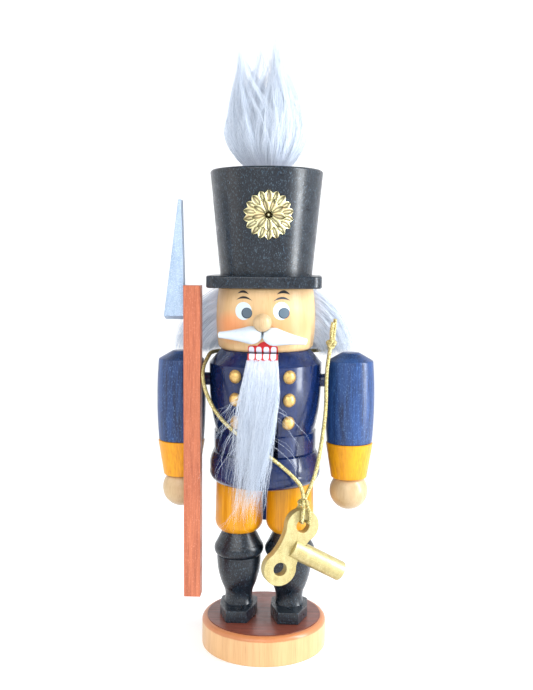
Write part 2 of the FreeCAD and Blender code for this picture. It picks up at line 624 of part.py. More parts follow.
def make_hat():
    """Tall hat that flares upward, bored for its dowel and the plume's pin."""
    body = turned("hat", [
        ("0", "0"),
        ("hat_bottom_radius", "0"),
        ("hat_top_radius", "hat_height"),
        ("0", "hat_height"),
    ])
    soften(body, "hat_rim_round", ("hat_top_radius", "hat_height"))
    stand(body, z=HAT_Z)
    holes = [
        rod("hat_hole", "hat_dowel_radius + glue_gap", "hat_dowel_depth + glue_gap", z=HAT_Z),
        rod("plume_hole", "plume_pin_radius + glue_gap", "plume_pin_depth + glue_gap + 1",
            z=PLUME_Z + " - plume_pin_depth - glue_gap"),
    ]
    node(cut("hat", body, holes), "hat")
    dowel = rod("hat_dowel", "hat_dowel_radius", "2 * hat_dowel_depth + visor_height",
                z=VISOR_Z + " - hat_dowel_depth")
    node(dowel, "hat_dowel")


def hat_shell(label, offset):
    """Cone that follows the hat's side at a given distance outside it."""
    cone = doc.addObject("Part::Cone", name_for(label))
    bind(cone, Radius1=f"hat_bottom_radius + {offset}", Radius2=f"hat_top_radius + {offset}",
         Height="hat_height")
    return stand(cone, z=HAT_Z)


def make_rosette():
    """Stamped metal rosette with a pointed rim, bent round the hat's front."""
    body = doc.addObject("PartDesign::Body", "RosetteStar")
    points = int(amount("rosette_points"))
    corners = []
    for index in range(2 * points):
        angle = math.pi * index / points
        reach = "rosette_radius" if index % 2 == 0 else "(rosette_radius - rosette_notch)"
        corners.append((f"{reach} * {math.cos(angle):.6f}", f"{reach} * {math.sin(angle):.6f}"))
    sketch = outline(body, "XZ_Plane", corners)
    pad = body.newObject("PartDesign::Pad", "Pad")
    pad.Profile = sketch
    bind(pad, Length="1.5 * hat_top_radius")
    doc.recompute()
    turn = amount("rosette_turn_degrees")
    body.Placement = FreeCAD.Placement(FreeCAD.Vector(), FreeCAD.Rotation(FreeCAD.Vector(0, 0, 1), turn))
    stand(body, z=HAT_Z + " + rosette_height")
    skin = cut("rosette_skin", hat_shell("rosette_outside", "glue_gap + rosette_thickness"),
               [hat_shell("rosette_inside", "glue_gap")])
    stamped = doc.addObject("Part::MultiCommon", "RosetteStamped")
    stamped.Shapes = [skin, body]
    node(stamped, "hat_rosette")


def make_plume():
    """Fur plume as a plain spindle on a wooden pin."""
    bore = "plume_pin_radius + glue_gap"
    body = turned("plume", [
        (bore, "0"),
        ("plume_root_radius", "0"),
        ("plume_radius", "plume_belly_height"),
        ("plume_crown_radius", "plume_crown_height"),
        ("plume_tip_radius", "plume_height"),
        ("0", "plume_height"),
        ("0", "plume_pin_rise + glue_gap"),
        (bore, "plume_pin_rise + glue_gap"),
    ])
    stand(body, z=PLUME_Z)
    node(body, "plume")
    pin = rod("plume_pin", "plume_pin_radius", "plume_pin_depth + plume_pin_rise",
              z=PLUME_Z + " - plume_pin_depth")
    node(pin, "plume_pin")


def make_hair():
    """Fur hair as a plain horseshoe round the head, wider over the shoulders."""
    front = sawn("hair", "XZ_Plane", [
        ("-hair_right_reach", "0"),
        ("hair_left_reach", "0"),
        ("hair_left_middle", "hair_middle_height"),
        ("hair_left_top", "hair_left_top_height"),
        ("hair_left_top - 5", "head_height - hair_bottom_lift - 2 * soft_gap"),
        ("-hair_right_top + 1", "head_height - hair_bottom_lift - 2 * soft_gap"),
        ("-hair_right_middle", "hair_middle_height"),
    ], "4 * hair_back")
    stand(front, z=HEAD_Z + " + hair_bottom_lift")
    above = sawn("hair_plan", "XY_Plane", [
        ("-hair_right_reach - 1", "-hair_front"),
        ("hair_left_reach + 1", "-hair_front"),
        ("hair_left_reach + 1", "hair_corner"),
        ("0.62 * hair_left_reach", "hair_back - 6"),
        ("0.25 * hair_left_reach", "hair_back"),
        ("-0.25 * hair_right_reach", "hair_back"),
        ("-0.62 * hair_right_reach", "hair_back - 6"),
        ("-hair_right_reach - 1", "hair_corner"),
    ], "6 * head_height")
    stand(above, z=HEAD_Z)
    both = doc.addObject("Part::MultiCommon", "HairBlock")
    both.Shapes = [front, above]
    head = rod("hair_head", "head_radius + soft_gap", "2 * head_height", z=HEAD_Z + " - head_height / 2")
    node(cut("hair", both, [head]), "hair")


def make_beard():
    """Fur beard as a plain board: glued under the lip, wider below and hanging clear of the coat."""
    front = sawn("beard", "XZ_Plane", [
        ("-beard_root_half_width", "beard_root_height"),
        ("-beard_shift - beard_half_width + 2", "beard_full_height"),
        ("-beard_shift - beard_tip_half_width - 2", "beard_tip_height"),
        ("-beard_shift + beard_tip_half_width - 2", "beard_tip_height"),
        ("-beard_shift + beard_half_width + 2", "beard_full_height"),
        ("beard_root_half_width", "beard_root_height"),
    ], "6 * shoulder_radius")
    stand(front, z=COAT_Z)
    root = "-(jaw_chin_reach + soft_gap / 7)"
    side = sawn("beard_side", "YZ_Plane", [
        (root, "beard_root_height + 1"),
        (root, "beard_root_height - beard_root_drop"),
        ("-beard_hang", "beard_full_height"),
        ("-beard_hang", "beard_tip_height - 1"),
        ("-beard_hang - beard_thickness / 2", "beard_tip_height - 1"),
        ("-beard_hang - beard_thickness", "beard_full_height"),
        (root + " - beard_thickness", "beard_root_height + 1"),
    ], "4 * beard_half_width + 4 * beard_shift")
    stand(side, z=COAT_Z)
    both = doc.addObject("Part::MultiCommon", "BeardBlock")
    both.Shapes = [front, side]
    node(both, "beard")


def make_arm(side, sign):
    """Sleeve, cuff and ball hand on one dowel, and the dowel that joins the sleeve to the coat."""
    x = f"{sign} * arm_offset"
    sleeve = turned(f"sleeve_{side}", [
        ("0", "0"),
        ("sleeve_end_radius", "0"),
        ("via", "sleeve_radius", "(sleeve_height - sleeve_cap_height) / 2"),
        ("sleeve_end_radius", "sleeve_height - sleeve_cap_height"),
        ("sleeve_cap_radius", "sleeve_height"),
        ("0", "sleeve_height"),
    ])
    soften(sleeve, "sleeve_round", ("sleeve_end_radius", "0"),
           ("sleeve_end_radius", "sleeve_height - sleeve_cap_height"))
    stand(sleeve, x=x, z=SLEEVE_Z)
    socket = "arm_dowel_radius + glue_gap"
    inner = x if sign < 0 else "arm_offset - 2 * sleeve_radius"
    arm_z = COAT_Z + " + arm_dowel_height"
    holes = [
        rod(f"sleeve_arm_hole_{side}", socket, "2 * sleeve_radius", x=inner, z=arm_z, along="x"),
        rod(f"sleeve_hand_hole_{side}", "hand_dowel_radius + glue_gap", "hand_dowel_depth + glue_gap",
            x=x, z=SLEEVE_Z),
    ]
    node(cut(f"sleeve_{side}", sleeve, holes), f"sleeve_{side}")
    start = "chest_radius - arm_dowel_depth + glue_gap"
    length = f"arm_offset - glue_gap - ({start})"
    reach = start if sign > 0 else "-(arm_offset - glue_gap)"
    dowel = rod(f"arm_dowel_{side}", "arm_dowel_radius", length, x=reach, z=arm_z, along="x")
    node(dowel, f"arm_dowel_{side}")
    bore = "hand_dowel_radius + glue_gap"
    cuff = turned(f"cuff_{side}", [
        (bore, "0"),
        ("cuff_bottom_radius - sleeve_round / 2", "0"),
        ("cuff_bottom_radius", "sleeve_round / 2"),
        ("cuff_top_radius", "cuff_height - sleeve_round / 2"),
        ("cuff_top_radius - sleeve_round / 2", "cuff_height"),
        (bore, "cuff_height"),
    ])
    stand(cuff, x=x, z=CUFF_Z)
    node(cuff, f"cuff_{side}")
    rim = "sqrt(hand_radius ^ 2 - hand_flat_rise ^ 2)"
    hand = turned(f"hand_{side}", [
        ("0", "-hand_radius"),
        ("via", "hand_radius", "0"),
        (rim, "hand_flat_rise"),
        ("0", "hand_flat_rise"),
    ])
    stand(hand, x=x, z=HAND_Z)
    drills = [rod(f"hand_hole_{side}", bore, "hand_dowel_depth + glue_gap + 1", x=x,
                  z=CUFF_Z + " - hand_dowel_depth - glue_gap")]
    if side == "right":
        drills.append(halberd_pin("hand_pin_hole", "glue_gap"))
    node(cut(f"hand_{side}", hand, drills), f"hand_{side}")
    pin = rod(f"hand_dowel_{side}", "hand_dowel_radius", "2 * hand_dowel_depth + cuff_height",
              x=x, z=CUFF_Z + " - hand_dowel_depth")
    node(pin, f"hand_dowel_{side}")


SHAFT_X = "(shaft_inset - arm_offset)"
SHAFT_FRONT = "-(shaft_stand + shaft_width)"


def halberd_pin(label, extra):
    """Pin from the hand into the back of the shaft, or with extra play the drill for it."""
    hand_face = "sqrt(hand_radius ^ 2 - halberd_pin_shift ^ 2)"
    return rod(label, f"halberd_pin_radius + {extra}",
               f"2 * halberd_pin_grip + shaft_stand - {hand_face} + 2 * {extra}",
               x="halberd_pin_shift - arm_offset", y=f"-shaft_stand - halberd_pin_grip - {extra}",
               z=HAND_Z, along="y")


def make_halberd():
    """Square shaft beside the right hand, with a tall bevelled blade on its outer side."""
    shaft = doc.addObject("Part::Box", "ShaftBar")
    bind(shaft, Length="shaft_width", Width="shaft_width", Height="shaft_top - shaft_bottom")
    stand(shaft, x=f"{SHAFT_X} - shaft_width / 2", y=SHAFT_FRONT, z="shaft_bottom")
    node(cut("halberd_shaft", shaft, [halberd_pin("shaft_pin_hole", "glue_gap")]), "halberd_shaft")
    node(halberd_pin("halberd_pin", "0"), "halberd_pin")
    inner = f"{SHAFT_X} - shaft_width / 2"
    blade = sawn("halberd_blade", "XZ_Plane", [
        (inner, "blade_bottom"),
        (inner, "shaft_top"),
        (f"{inner} - blade_tip_lean", "blade_tip"),
        (f"{inner} - blade_tip_lean - blade_tip_width", "blade_tip"),
        (f"{inner} - blade_width", "blade_bottom"),
    ], "blade_thickness")
    middle = f"{SHAFT_FRONT} + shaft_width / 2"
    stand(blade, y=middle)
    bevel = doc.addObject("Part::Wedge", "BladeBevel")
    bind(bevel, Xmin="0", Xmax="2 * blade_width", X2min="0", X2max="2 * blade_width",
         Ymin="0", Ymax="blade_thickness", Zmin="0", Zmax="blade_bevel", Z2min="0", Z2max="0")
    stand(bevel, x=f"{inner} - 1.5 * blade_width", y=f"{middle} - blade_thickness / 2", z="blade_bottom")
    node(cut("halberd_blade", blade, [bevel]), "halberd_blade")


def make_button(side, sign, row):
    """Domed wooden button on a peg."""
    label = f"coat_button_{side}_{('top', 'middle', 'bottom')[row]}"
    dome = "(button_rise - button_edge)"
    ball = f"(button_radius ^ 2 + {dome} ^ 2) / (2 * {dome})"
    button = turned(label, [
        ("0", "-button_peg_length"),
        ("button_peg_radius", "-button_peg_length"),
        ("button_peg_radius", "0"),
        ("button_radius", "0"),
        ("button_radius", "button_edge"),
        ("via", "0.6 * button_radius",
         f"button_rise - {ball} + sqrt(({ball}) ^ 2 - (0.6 * button_radius) ^ 2)"),
        ("0", "button_rise"),
    ])
    button.Placement = button_pose(sign, row)
    node(button, label)


def make_key():
    """Flat two-lobed key plate with a slotted barrel, hanging by its weight from the upper hole."""
    upper = "-(key_hole_radius - cord_radius)"
    lower = f"{upper} - key_hole_spacing"
    side = "sqrt(key_lobe_radius ^ 2 - key_neck_drop ^ 2)"
    middle = f"{upper} - key_hole_spacing / 2"
    plate = sawn("key_plate", "XZ_Plane", [
        (side, f"{upper} - key_neck_drop"),
        ("via", "0", f"{upper} + key_lobe_radius"),
        (f"-{side}", f"{upper} - key_neck_drop"),
        ("via", "-key_waist", middle),
        (f"-{side}", f"{lower} + key_neck_drop"),
        ("via", "0", f"{lower} - key_lobe_radius"),
        (side, f"{lower} + key_neck_drop"),
        ("via", "key_waist", middle),
    ], "key_thickness")
    holes = [
        rod(f"key_{name}_hole", "key_hole_radius", "2 * key_thickness", y="-key_thickness", z=height,
            along="y")
        for name, height in (("upper", upper), ("lower", lower))
    ]
    bow = cut("key_plate", plate, holes)
    dowel = rod("key_barrel_rod", "key_barrel_radius", "key_barrel_length", x="key_barrel_start",
                z=middle, along="x")
    slot = block("key_slot", "key_waist + key_slot_extra + 1", "key_thickness + 2 * glue_gap",
                 "4 * key_barrel_radius", x="-1", y="-key_thickness / 2 - glue_gap",
                 z=f"{middle} - 2 * key_barrel_radius")
    barrel = cut("key_barrel", dowel, [slot])
    doc.recompute()
    solids = bow.Shape.Solids + barrel.Shape.Solids
    moment = sum((solid.CenterOfMass * solid.Volume for solid in solids), FreeCAD.Vector())
    centre = moment / sum(solid.Volume for solid in solids)
    tilt = math.degrees(math.atan2(centre.x, -centre.z))
    print(f"key hangs {tilt:.2f} degrees off its long axis")
    turn = (FreeCAD.Rotation(FreeCAD.Vector(0, 0, 1), amount("key_turn_degrees"))
            * FreeCAD.Rotation(FreeCAD.Vector(0, 1, 0), tilt))
    pivot = FreeCAD.Vector(amount("key_pivot_right"), -amount("key_pivot_front"), amount("key_pivot_height"))
    for thing, label in ((bow, "key_plate"), (barrel, "key_barrel")):
        thing.Placement = FreeCAD.Placement(pivot, turn)
        node(thing, label)


def make_hitch():
    """The cord's loop through the key's upper hole, drawn tight into a small ball above the rim."""
    half = amount("key_thickness / 2 + hitch_clear + cord_radius")
    top = amount("key_lobe_radius - (key_hole_radius - cord_radius) + hitch_rise + cord_radius")
    bend = amount("hitch_corner")
    ring = [FreeCAD.Vector(0, y, z) for y, z in ((-half, 0), (half, 0), (half, top), (-half, top))]
    edges = []
    for index, corner in enumerate(ring):
        before = (ring[index - 1] - corner).normalize()
        after = (ring[(index + 1) % 4] - corner).normalize()
        first = corner + before * bend
        last = corner + after * bend
        middle = corner + (before + after) * bend * (1 - math.sqrt(0.5))
        edges.append(Part.Arc(first, middle, last).toShape())
        following = ring[(index + 1) % 4]
        end = following - after * bend
        edges.append(Part.LineSegment(last, end).toShape())
    wire = Part.Wire(Part.__sortEdges__(edges))
    begin = edges[1].valueAt(edges[1].FirstParameter)
    along = edges[1].valueAt(edges[1].LastParameter) - begin
    profile = Part.Wire(Part.makeCircle(amount("cord_radius"), begin, along))
    loop = wire.makePipeShell([profile], True, False)
    ball = Part.makeSphere(amount("hitch_knot_radius"), FreeCAD.Vector(0, 0, top + amount("hitch_lift")))
    thing = doc.addObject("Part::Feature", "CordHitch")
    thing.Shape = loop.fuse(ball)
    turn = FreeCAD.Rotation(FreeCAD.Vector(0, 0, 1), amount("key_turn_degrees"))
    pivot = FreeCAD.Vector(amount("key_pivot_right"), -amount("key_pivot_front"), amount("key_pivot_height"))
    thing.Placement = FreeCAD.Placement(pivot, turn)
    node(thing, "cord_hitch")


def make_cord():
    """Both strands of the gold cord, the knot that closes it and its two cut ends."""
    cord_tube("cord_long_strand", LONG_STRAND)
    cord_tube("cord_short_strand", SHORT_STRAND)
    make_hitch()
    knot = doc.addObject("Part::Sphere", "CordKnot")
    bind(knot, Radius="knot_radius")
    knot.Placement.Base = FreeCAD.Vector(*LONG_STRAND[0])
    node(knot, "cord_knot")
    for label, points in TAILS.items():
        cord_tube(label, points)


def check_and_export():
    """Recompute, refuse anything broken, and write one STEP file for each piece."""
    doc.recompute()
    for thing in doc.Objects:
        if {"Invalid", "Error"} & set(thing.State):
            raise RuntimeError(f"{thing.Label} did not recompute: {thing.State}")
    os.makedirs("parts", exist_ok=True)
    for piece in nodes:
        if piece.Shape.isNull() or not piece.Shape.isValid() or not piece.Shape.Solids:
            raise RuntimeError(f"{piece.Label} has no valid solid")
        piece.Shape.exportStep(f"parts/{piece.Label}.step")
    print(f"{len(nodes)} pieces written")


def main():
    """Build the figure from the plinth up and write its pieces."""
    fill_sheet()
    make_base()
    for side, sign in SIDES.items():
        make_shoe(side, sign)
        make_boot(side, sign)
        make_breeches(side, sign)
        make_leg_dowel(side, sign)
    make_coat()
    make_lever()
    make_head()
    make_nose()
    for side, sign in SIDES.items():
        make_moustache(side, sign)
        make_arm(side, sign)
        for row in range(3):
            make_button(side, sign, row)
    make_visor()
    make_hat()
    make_rosette()
    make_plume()
    make_hair()
    make_beard()
    make_halberd()
    make_key()
    make_cord()
    check_and_export()


main()
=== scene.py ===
"""Looks of a turned wooden nutcracker figure with a fur plume, hair and beard, a halberd and a gold cord.

Metres, +Z up, the figure looks along -Y. Sizes in the classes are written in millimetres times MM.
"""
import json
import logging
import math
import random
from dataclasses import dataclass, field
from enum import Enum
from typing import Any, Optional, Sequence

import bmesh
import bpy
from mathutils import Matrix, Vector

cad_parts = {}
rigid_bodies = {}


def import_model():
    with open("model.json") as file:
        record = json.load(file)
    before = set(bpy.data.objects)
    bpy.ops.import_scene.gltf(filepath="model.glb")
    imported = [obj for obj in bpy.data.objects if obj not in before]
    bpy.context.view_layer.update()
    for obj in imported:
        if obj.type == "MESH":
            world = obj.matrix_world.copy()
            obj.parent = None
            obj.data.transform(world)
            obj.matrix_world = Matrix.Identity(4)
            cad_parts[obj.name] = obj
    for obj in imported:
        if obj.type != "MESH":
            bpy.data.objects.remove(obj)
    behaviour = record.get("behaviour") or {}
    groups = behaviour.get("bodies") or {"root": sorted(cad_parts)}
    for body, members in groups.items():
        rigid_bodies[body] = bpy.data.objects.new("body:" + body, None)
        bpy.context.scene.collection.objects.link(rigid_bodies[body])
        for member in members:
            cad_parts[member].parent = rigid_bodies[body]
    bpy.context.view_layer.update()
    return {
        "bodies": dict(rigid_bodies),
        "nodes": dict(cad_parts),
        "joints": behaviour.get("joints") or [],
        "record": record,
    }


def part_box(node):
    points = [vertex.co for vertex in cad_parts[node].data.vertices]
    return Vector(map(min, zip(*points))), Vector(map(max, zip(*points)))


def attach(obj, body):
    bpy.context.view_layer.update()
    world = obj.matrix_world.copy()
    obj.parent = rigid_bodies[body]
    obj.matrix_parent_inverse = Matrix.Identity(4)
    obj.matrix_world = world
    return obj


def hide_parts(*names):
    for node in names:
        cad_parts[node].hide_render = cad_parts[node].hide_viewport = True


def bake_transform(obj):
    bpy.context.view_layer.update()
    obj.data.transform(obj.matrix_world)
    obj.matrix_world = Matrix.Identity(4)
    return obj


MM = 0.001
LOG = logging.getLogger("nutcracker")
Colour = tuple[float, float, float]


class Grain(Enum):
    """Which way the wood's fibres run."""

    UPRIGHT = (1.0, 1.0, 0.045)
    ACROSS = (0.045, 1.0, 1.0)
    FRONT_TO_BACK = (1.0, 0.045, 1.0)


# ---------------------------------------------------------------------------------------------
# Node helpers
# ---------------------------------------------------------------------------------------------


class Bench:
    """A node tree being put together, with short ways to add and join nodes."""

    def __init__(self, tree: bpy.types.NodeTree) -> None:
        """Start work on a tree.

        Args:
            tree: the tree that takes the nodes.
        """
        self.tree = tree
        self.placed = 0

    def add(self, kind: str, inputs: Optional[dict[Any, Any]] = None, **settings: Any) -> bpy.types.Node:
        """Add a node.

        Args:
            kind: Blender's type name.
            inputs: socket name or number to a value or a socket that feeds it.
            settings: properties of the node.

        Returns:
            The new node.
        """
        node = self.tree.nodes.new(kind)
        node.location = (200 * (self.placed % 12), -260 * (self.placed // 12))
        self.placed += 1
        for name, value in settings.items():
            setattr(node, name, value)
        for name, value in (inputs or {}).items():
            self.feed(node.inputs[name], value)
        return node

    def feed(self, socket: bpy.types.NodeSocket, value: Any) -> None:
        """Join a socket to another, or set its value.

        Args:
            socket: the input.
            value: an output socket or a plain value.
        """
        if isinstance(value, bpy.types.NodeSocket):
            self.tree.links.new(value, socket)
        elif isinstance(value, tuple) and len(value) == 3 and socket.type == "RGBA":
            socket.default_value = (*value, 1.0)
        else:
            socket.default_value = value

    def math(self, operation: str, *values: Any, clamp: bool = False) -> bpy.types.NodeSocket:
        """Result of a Math node.

        Args:
            operation: the node's operation.
            values: its inputs in order.
            clamp: whether the result is kept in 0..1.

        Returns:
            The output socket.
        """
        inputs = dict(enumerate(values))
        return self.add("ShaderNodeMath", inputs, operation=operation, use_clamp=clamp).outputs[0]

    def scaled(self, vector: Any, factor: Any) -> Any:
        """Vector times a factor."""
        return self.add("ShaderNodeVectorMath", {0: vector, "Scale": factor}, operation="SCALE").outputs[0]

    def vector(self, operation: str, *values: Any) -> bpy.types.NodeSocket:
        """Result of a Vector Math node.

        Args:
            operation: the node's operation.
            values: its inputs in order.

        Returns:
            The vector output, or the value output where the operation gives a number.
        """
        node = self.add("ShaderNodeVectorMath", dict(enumerate(values)), operation=operation)
        return node.outputs["Value" if operation in ("LENGTH", "DOT_PRODUCT", "DISTANCE") else "Vector"]

    def mix(self, factor: Any, first: Any, second: Any, blend: str = "MIX") -> bpy.types.NodeSocket:
        """Colour mixed from two others.

        Args:
            factor: share of the second.
            first: the colour at 0.
            second: the colour at 1.
            blend: the blend type.

        Returns:
            The mixed colour's socket.
        """
        node = self.add("ShaderNodeMix", {0: factor, 6: first, 7: second}, data_type="RGBA", blend_type=blend)
        return node.outputs[2]

    def spread(self, value: Any, low: float, high: float, to_low: float = 0.0, to_high: float = 1.0,
               smooth: bool = True) -> bpy.types.NodeSocket:
        """Value moved from one range to another and kept inside it.

        Args:
            value: the incoming value.
            low: start of its range.
            high: end of its range.
            to_low: result at the start.
            to_high: result at the end.
            smooth: whether both ends are eased.

        Returns:
            The output socket.
        """
        kind = "SMOOTHSTEP" if smooth else "LINEAR"
        node = self.add("ShaderNodeMapRange", {0: value, 1: low, 2: high, 3: to_low, 4: to_high},
                        interpolation_type=kind)
        return node.outputs[0]

    def noise(self, vector: Any, scale: float, detail: float = 2.0, rough: float = 0.5,
              twist: float = 0.0) -> bpy.types.NodeSocket:
        """Noise texture's value.

        Args:
            vector: where it is read.
            scale: its scale.
            detail: its octaves.
            rough: its roughness.
            twist: its distortion.

        Returns:
            The value's socket.
        """
        node = self.add("ShaderNodeTexNoise", {"Vector": vector, "Scale": scale, "Detail": detail,
                                               "Roughness": rough, "Distortion": twist})
        return node.outputs[0]

    def stretched(self, vector: Any, scale: Sequence[float]) -> bpy.types.NodeSocket:
        """Vector scaled along each axis by a Mapping node."""
        return self.add("ShaderNodeMapping", {"Vector": vector, "Scale": tuple(scale)}).outputs[0]


def new_group(name: str, kind: str, takes: dict[str, Any], gives: dict[str, str]) -> Optional[Bench]:
    """Start a node group, unless it is there already.

    Args:
        name: the group's name.
        kind: ShaderNodeTree or GeometryNodeTree.
        takes: input name to its default value, or to a socket type in words.
        gives: output name to socket type.

    Returns:
        A bench on the new tree, or None where the group exists.
    """
    if name in bpy.data.node_groups:
        return None
    tree = bpy.data.node_groups.new(name, kind)
    for label, value in takes.items():
        if isinstance(value, str):
            tree.interface.new_socket(label, in_out="INPUT", socket_type=value)
            continue
        words = {bool: "Bool", int: "Int", float: "Float"}
        sort = words.get(type(value)) or ("Color" if len(value) == 4 else "Vector")
        socket = tree.interface.new_socket(label, in_out="INPUT", socket_type="NodeSocket" + sort)
        socket.default_value = value
    for label, sort in gives.items():
        tree.interface.new_socket(label, in_out="OUTPUT", socket_type=sort)
    return Bench(tree)


def use_group(bench: Bench, name: str, inputs: dict[str, Any]) -> bpy.types.Node:
    """Add a shader group's node and feed it.

    Args:
        bench: where the node goes.
        name: the group's name.
        inputs: its inputs.

    Returns:
        The group node.
    """
    node = bench.add("ShaderNodeGroup")
    node.node_tree = bpy.data.node_groups[name]
    for label, value in inputs.items():
        bench.feed(node.inputs[label], value)
    return node


# ---------------------------------------------------------------------------------------------
# Shared shader effects
# ---------------------------------------------------------------------------------------------


def make_wood_figure() -> None:
    """Shader group of fine fibres, broader bands and pores, from stretched coordinates."""
    bench = new_group("wood_figure", "ShaderNodeTree", {
        "Vector": (0.0, 0.0, 0.0), "Light": (0.8, 0.6, 0.4, 1.0), "Dark": (0.5, 0.3, 0.1, 1.0),
        "Fibre": 900.0, "Band": 160.0, "Contrast": 1.0,
    }, {"Color": "NodeSocketColor", "Height": "NodeSocketFloat"})
    if bench is None:
        return
    entry = bench.add("NodeGroupInput").outputs
    fibre = bench.add("ShaderNodeTexNoise", {"Vector": entry["Vector"], "Scale": entry["Fibre"],
                                             "Detail": 3.0, "Roughness": 0.65}).outputs[0]
    band = bench.add("ShaderNodeTexNoise", {"Vector": entry["Vector"], "Scale": entry["Band"],
                                            "Detail": 2.0, "Distortion": 0.3}).outputs[0]
    pores = bench.spread(fibre, 0.60, 0.76)
    both = bench.math("MULTIPLY_ADD", fibre, 0.55, bench.math("MULTIPLY", band, 0.45))
    share = bench.spread(both, 0.36, 0.64)
    share = bench.math("MULTIPLY", share, entry["Contrast"], clamp=True)
    colour = bench.mix(share, entry["Light"], entry["Dark"])
    darkened = bench.mix(0.5, colour, entry["Dark"], "MULTIPLY")
    colour = bench.mix(bench.math("MULTIPLY", pores, 0.5), colour, darkened)
    bench.add("NodeGroupOutput", {"Color": colour, "Height": bench.math("SUBTRACT", 1.0, both)})


def make_paint_spot() -> None:
    """Shader group of a painted spot on the front: an ellipse, or a rounded block at a high power."""
    bench = new_group("paint_spot", "ShaderNodeTree", {
        "Vector": (0.0, 0.0, 0.0), "Across": 0.0, "Up": 0.0, "Half Width": 0.002, "Half Height": 0.002,
        "Power": 2.0, "Edge": 0.06,
    }, {"Mask": "NodeSocketFloat"})
    if bench is None:
        return
    entry = bench.add("NodeGroupInput").outputs
    parts = bench.add("ShaderNodeSeparateXYZ", {0: entry["Vector"]}).outputs
    reach = []
    for axis, centre, half in (("X", "Across", "Half Width"), ("Z", "Up", "Half Height")):
        off = bench.math("ABSOLUTE", bench.math("SUBTRACT", parts[axis], entry[centre]))
        reach.append(bench.math("POWER", bench.math("DIVIDE", off, entry[half]), entry["Power"]))
    inside = bench.math("SUBTRACT", 1.0, bench.math("ADD", *reach))
    mask = bench.math("DIVIDE", inside, entry["Edge"], clamp=True)
    mask = bench.math("MULTIPLY", mask, bench.math("LESS_THAN", parts["Y"], 0.0))
    bench.add("NodeGroupOutput", {"Mask": mask})


def make_paint_stroke() -> None:
    """Shader group of a brush stroke on the front: an arched line that thins to both ends."""
    bench = new_group("paint_stroke", "ShaderNodeTree", {
        "Vector": (0.0, 0.0, 0.0), "Across": 0.0, "Up": 0.0, "Half Length": 0.002, "Drop": 0.001,
        "Thickness": 0.0004, "Slant": 0.0,
    }, {"Mask": "NodeSocketFloat"})
    if bench is None:
        return
    entry = bench.add("NodeGroupInput").outputs
    parts = bench.add("ShaderNodeSeparateXYZ", {0: entry["Vector"]}).outputs
    share = bench.math("DIVIDE", bench.math("SUBTRACT", parts["X"], entry["Across"]), entry["Half Length"])
    square = bench.math("MULTIPLY", share, share)
    line = bench.math("SUBTRACT", entry["Up"], bench.math("MULTIPLY", square, entry["Drop"]))
    line = bench.math("MULTIPLY_ADD", share, entry["Slant"], line)
    off = bench.math("ABSOLUTE", bench.math("SUBTRACT", parts["Z"], line))
    half = bench.math("MULTIPLY", bench.math("SUBTRACT", 1.0, square), entry["Thickness"])
    room = bench.math("SUBTRACT", half, off)
    mask = bench.math("DIVIDE", room, 0.00012, clamp=True)
    mask = bench.math("MULTIPLY", mask, bench.math("LESS_THAN", parts["Y"], 0.0))
    bench.add("NodeGroupOutput", {"Mask": mask})


# ---------------------------------------------------------------------------------------------
# Finishes
# ---------------------------------------------------------------------------------------------


def begin_material(name: str) -> tuple[bpy.types.Material, Bench, bpy.types.Node, bpy.types.NodeSocket]:
    """New material with a Principled shader.

    Args:
        name: the material's name.

    Returns:
        The material, a bench on its tree, the shader node and the Object coordinates' socket.
    """
    material = bpy.data.materials.new(name)
    material.use_nodes = True
    material.node_tree.nodes.clear()
    bench = Bench(material.node_tree)
    shader = bench.add("ShaderNodeBsdfPrincipled")
    bench.add("ShaderNodeOutputMaterial", {"Surface": shader.outputs[0]})
    place = bench.add("ShaderNodeTexCoord").outputs["Object"]
    return material, bench, shader, place


def set_bump(bench: Bench, shader: bpy.types.Node, height: Any, strength: float, distance: float) -> None:
    """Feed the shader's normal from a height.

    Args:
        bench: the material's bench.
        shader: the Principled node.
        height: the height's socket.
        strength: the bump's strength.
        distance: the height in metres of a step from 0 to 1.
    """
    bump = bench.add("ShaderNodeBump", {"Height": height, "Strength": strength, "Distance": distance})
    bench.feed(shader.inputs["Normal"], bump.outputs[0])


